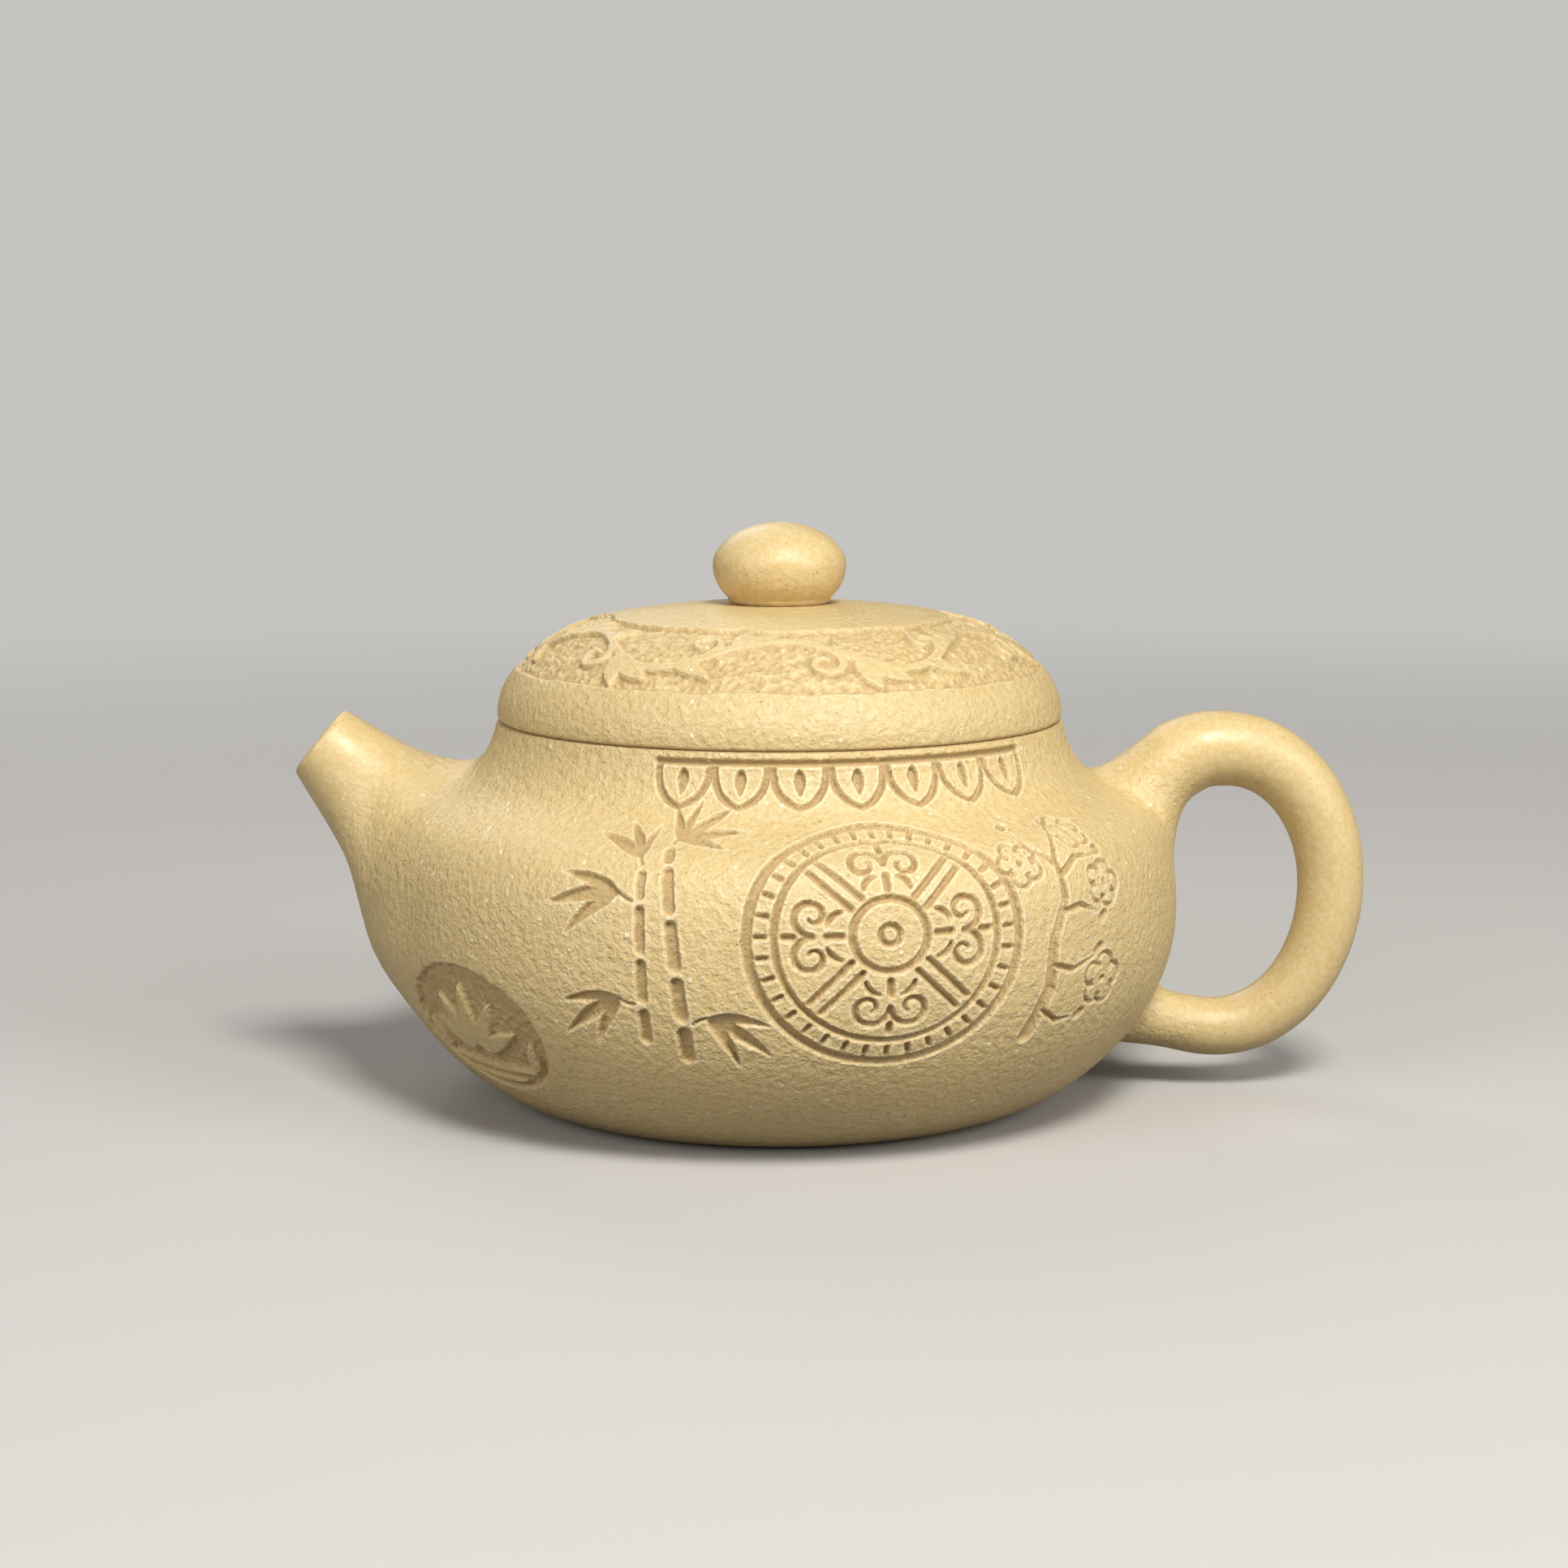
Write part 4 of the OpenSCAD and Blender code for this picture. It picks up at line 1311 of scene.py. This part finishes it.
def make_floor(colours):
    """A pale floor that bends up into a backdrop."""
    deselect()
    bpy.ops.mesh.primitive_plane_add(size=FLOOR, location=(0, 0, 0))
    floor = bpy.context.object
    floor.name = "floor"
    edit(floor, "DESELECT")
    bpy.ops.mesh.select_mode(type="EDGE")
    leave_edit()
    for e in floor.data.edges:
        ends = [floor.data.vertices[v].co.y for v in e.vertices]
        e.select = min(ends) > 1
    bpy.ops.object.mode_set(mode="EDIT")
    bpy.ops.mesh.extrude_region_move(TRANSFORM_OT_translate={"value": (0, 0, BACKDROP)})
    leave_edit()
    bend = floor.modifiers.new("bend", "BEVEL")
    bend.width = BEND
    bend.segments = 16
    bpy.ops.object.modifier_apply(modifier=bend.name)
    bpy.ops.object.shade_smooth()

    paper = material("floor_paper")
    g = Graph(paper)
    seen = g.add("ShaderNodeLightPath").outputs["Is Camera Ray"]
    tint = g.blend(seen, darker(colours.floor, BOUNCE), colour(colours.floor))
    matt = g.add("ShaderNodeBsdfPrincipled", {"Base Color": tint, "Roughness": 0.9})
    glow = g.add("ShaderNodeEmission", {"Color": colour(colours.backdrop), "Strength": 1.0})
    where = g.add("ShaderNodeTexCoord").outputs["Object"]
    away = g.add("ShaderNodeVectorMath", {0: where}, operation="LENGTH").outputs["Value"]
    far = g.maths("MULTIPLY", g.ramp(away, *GLOW), seen)
    surface = g.add("ShaderNodeMixShader", {0: far, 1: matt.outputs[0], 2: glow.outputs[0]})
    g.add("ShaderNodeOutputMaterial", {"Surface": surface.outputs[0]})
    floor.data.materials.clear()
    floor.data.materials.append(paper)


def make_world(colours):
    """Soft light from all round, which the camera sees as the plain backdrop."""
    world = bpy.data.worlds.new("studio")
    bpy.context.scene.world = world
    g = Graph(world)
    soft = g.add("ShaderNodeBackground", {"Color": SKY, "Strength": SKY_STRENGTH})
    plain = g.add("ShaderNodeBackground", {"Color": colour(colours.backdrop), "Strength": 1.0})
    seen = g.add("ShaderNodeLightPath").outputs["Is Camera Ray"]
    sky = g.add("ShaderNodeMixShader", {0: seen, 1: soft.outputs[0], 2: plain.outputs[0]})
    g.add("ShaderNodeOutputWorld", {"Surface": sky.outputs[0]})


def make_lamps():
    for name, place, size, power, tint in LAMPS:
        bpy.ops.object.light_add(type="AREA", location=place)
        lamp = bpy.context.object
        lamp.name = name
        lamp.data.size = size
        lamp.data.energy = power
        lamp.data.color = tint
        lamp.rotation_euler = (LAMP_AIM - Vector(place)).to_track_quat("-Z", "Y").to_euler()


def make_camera():
    turn = (math.radians(90 - CAMERA_DOWN), 0, 0)
    bpy.ops.object.camera_add(location=CAMERA_AT, rotation=turn)
    camera = bpy.context.object
    camera.data.lens = CAMERA_LENS
    camera.data.sensor_width = CAMERA_SENSOR
    camera.data.clip_start = 0.01
    bpy.context.scene.camera = camera
    bpy.context.scene.view_settings.view_transform = "Standard"


# ---- operators ----


class TEAPOT_OT_materials(bpy.types.Operator):
    """Make the three finishes of the clay"""

    bl_idname = "teapot.materials"
    bl_label = "Clay finishes"

    def execute(self, context):
        clays(context.scene)
        return {"FINISHED"}


class TEAPOT_OT_wall(bpy.types.Operator):
    """Turn the wall and carve its ornament"""

    bl_idname = "teapot.wall"
    bl_label = "Pot wall"

    def execute(self, context):
        scene = context.scene
        wall = make_wall(scene.teapot_sizes, scene.teapot_carving)
        finish_piece(wall, "pot", "clay_body", "body_wall", "shoulder_disc", "neck_ring", "mouth_ring")
        finish_piece(make_base(scene.teapot_sizes), "pot", "clay_body", "base_disc")
        return {"FINISHED"}


class TEAPOT_OT_spout(bpy.types.Operator):
    """Lute the spout and its strainer to the wall"""

    bl_idname = "teapot.spout"
    bl_label = "Spout"

    def execute(self, context):
        sizes = context.scene.teapot_sizes
        finish_piece(luted_skin("spout", "spout_skin", sizes), "pot", "clay_smooth", "spout")
        finish_piece(make_strainer(), "pot", "clay_smooth", "strainer")
        return {"FINISHED"}


class TEAPOT_OT_handle(bpy.types.Operator):
    """Lute the handle to the wall"""

    bl_idname = "teapot.handle"
    bl_label = "Handle"

    def execute(self, context):
        sizes = context.scene.teapot_sizes
        finish_piece(luted_skin("handle", "handle_loop", sizes), "pot", "clay_smooth", "handle")
        return {"FINISHED"}


class TEAPOT_OT_lid(bpy.types.Operator):
    """Turn the lid, carve its panel and set the knob on it"""

    bl_idname = "teapot.lid"
    bl_label = "Lid"

    def execute(self, context):
        scene = context.scene
        sizes = scene.teapot_sizes
        lid = make_lid(sizes, scene.teapot_carving)
        finish_piece(lid, "lid", "clay_lid", "lid_seat_plate", "lid_dome")
        finish_piece(make_flange(sizes), "lid", "clay_lid", "lid_flange")
        finish_piece(make_knob(sizes), "lid", "clay_smooth", "knob")
        return {"FINISHED"}


class TEAPOT_OT_stage(bpy.types.Operator):
    """Set the floor, the lamps and the camera"""

    bl_idname = "teapot.stage"
    bl_label = "Stage"

    def execute(self, context):
        colours = context.scene.teapot_colours
        make_floor(colours)
        make_world(colours)
        make_lamps()
        make_camera()
        return {"FINISHED"}


class TEAPOT_PT_panel(bpy.types.Panel):
    """Buttons for each piece of the teapot"""

    bl_idname = "TEAPOT_PT_panel"
    bl_label = "Teapot"
    bl_space_type = "VIEW_3D"
    bl_region_type = "UI"
    bl_category = "Teapot"

    def draw(self, context):
        for operator in STEPS:
            self.layout.operator(operator.bl_idname)


STEPS = (
    TEAPOT_OT_stage, TEAPOT_OT_materials, TEAPOT_OT_wall, TEAPOT_OT_spout, TEAPOT_OT_handle, TEAPOT_OT_lid
)
SETTINGS = {
    "teapot_sizes": TeapotSizes, "teapot_carving": TeapotCarving, "teapot_colours": TeapotColours
}


def register():
    for cls in (*SETTINGS.values(), *STEPS, TEAPOT_PT_panel):
        bpy.utils.register_class(cls)
    for name, group in SETTINGS.items():
        setattr(bpy.types.Scene, name, bpy.props.PointerProperty(type=group))


def unregister():
    for name in SETTINGS:
        delattr(bpy.types.Scene, name)
    for cls in (TEAPOT_PT_panel, *reversed(STEPS), *SETTINGS.values()):
        bpy.utils.unregister_class(cls)


def main():
    register()
    for step in STEPS:
        group, name = step.bl_idname.split(".")
        getattr(getattr(bpy.ops, group), name)()


if __name__ == "__main__":
    main()
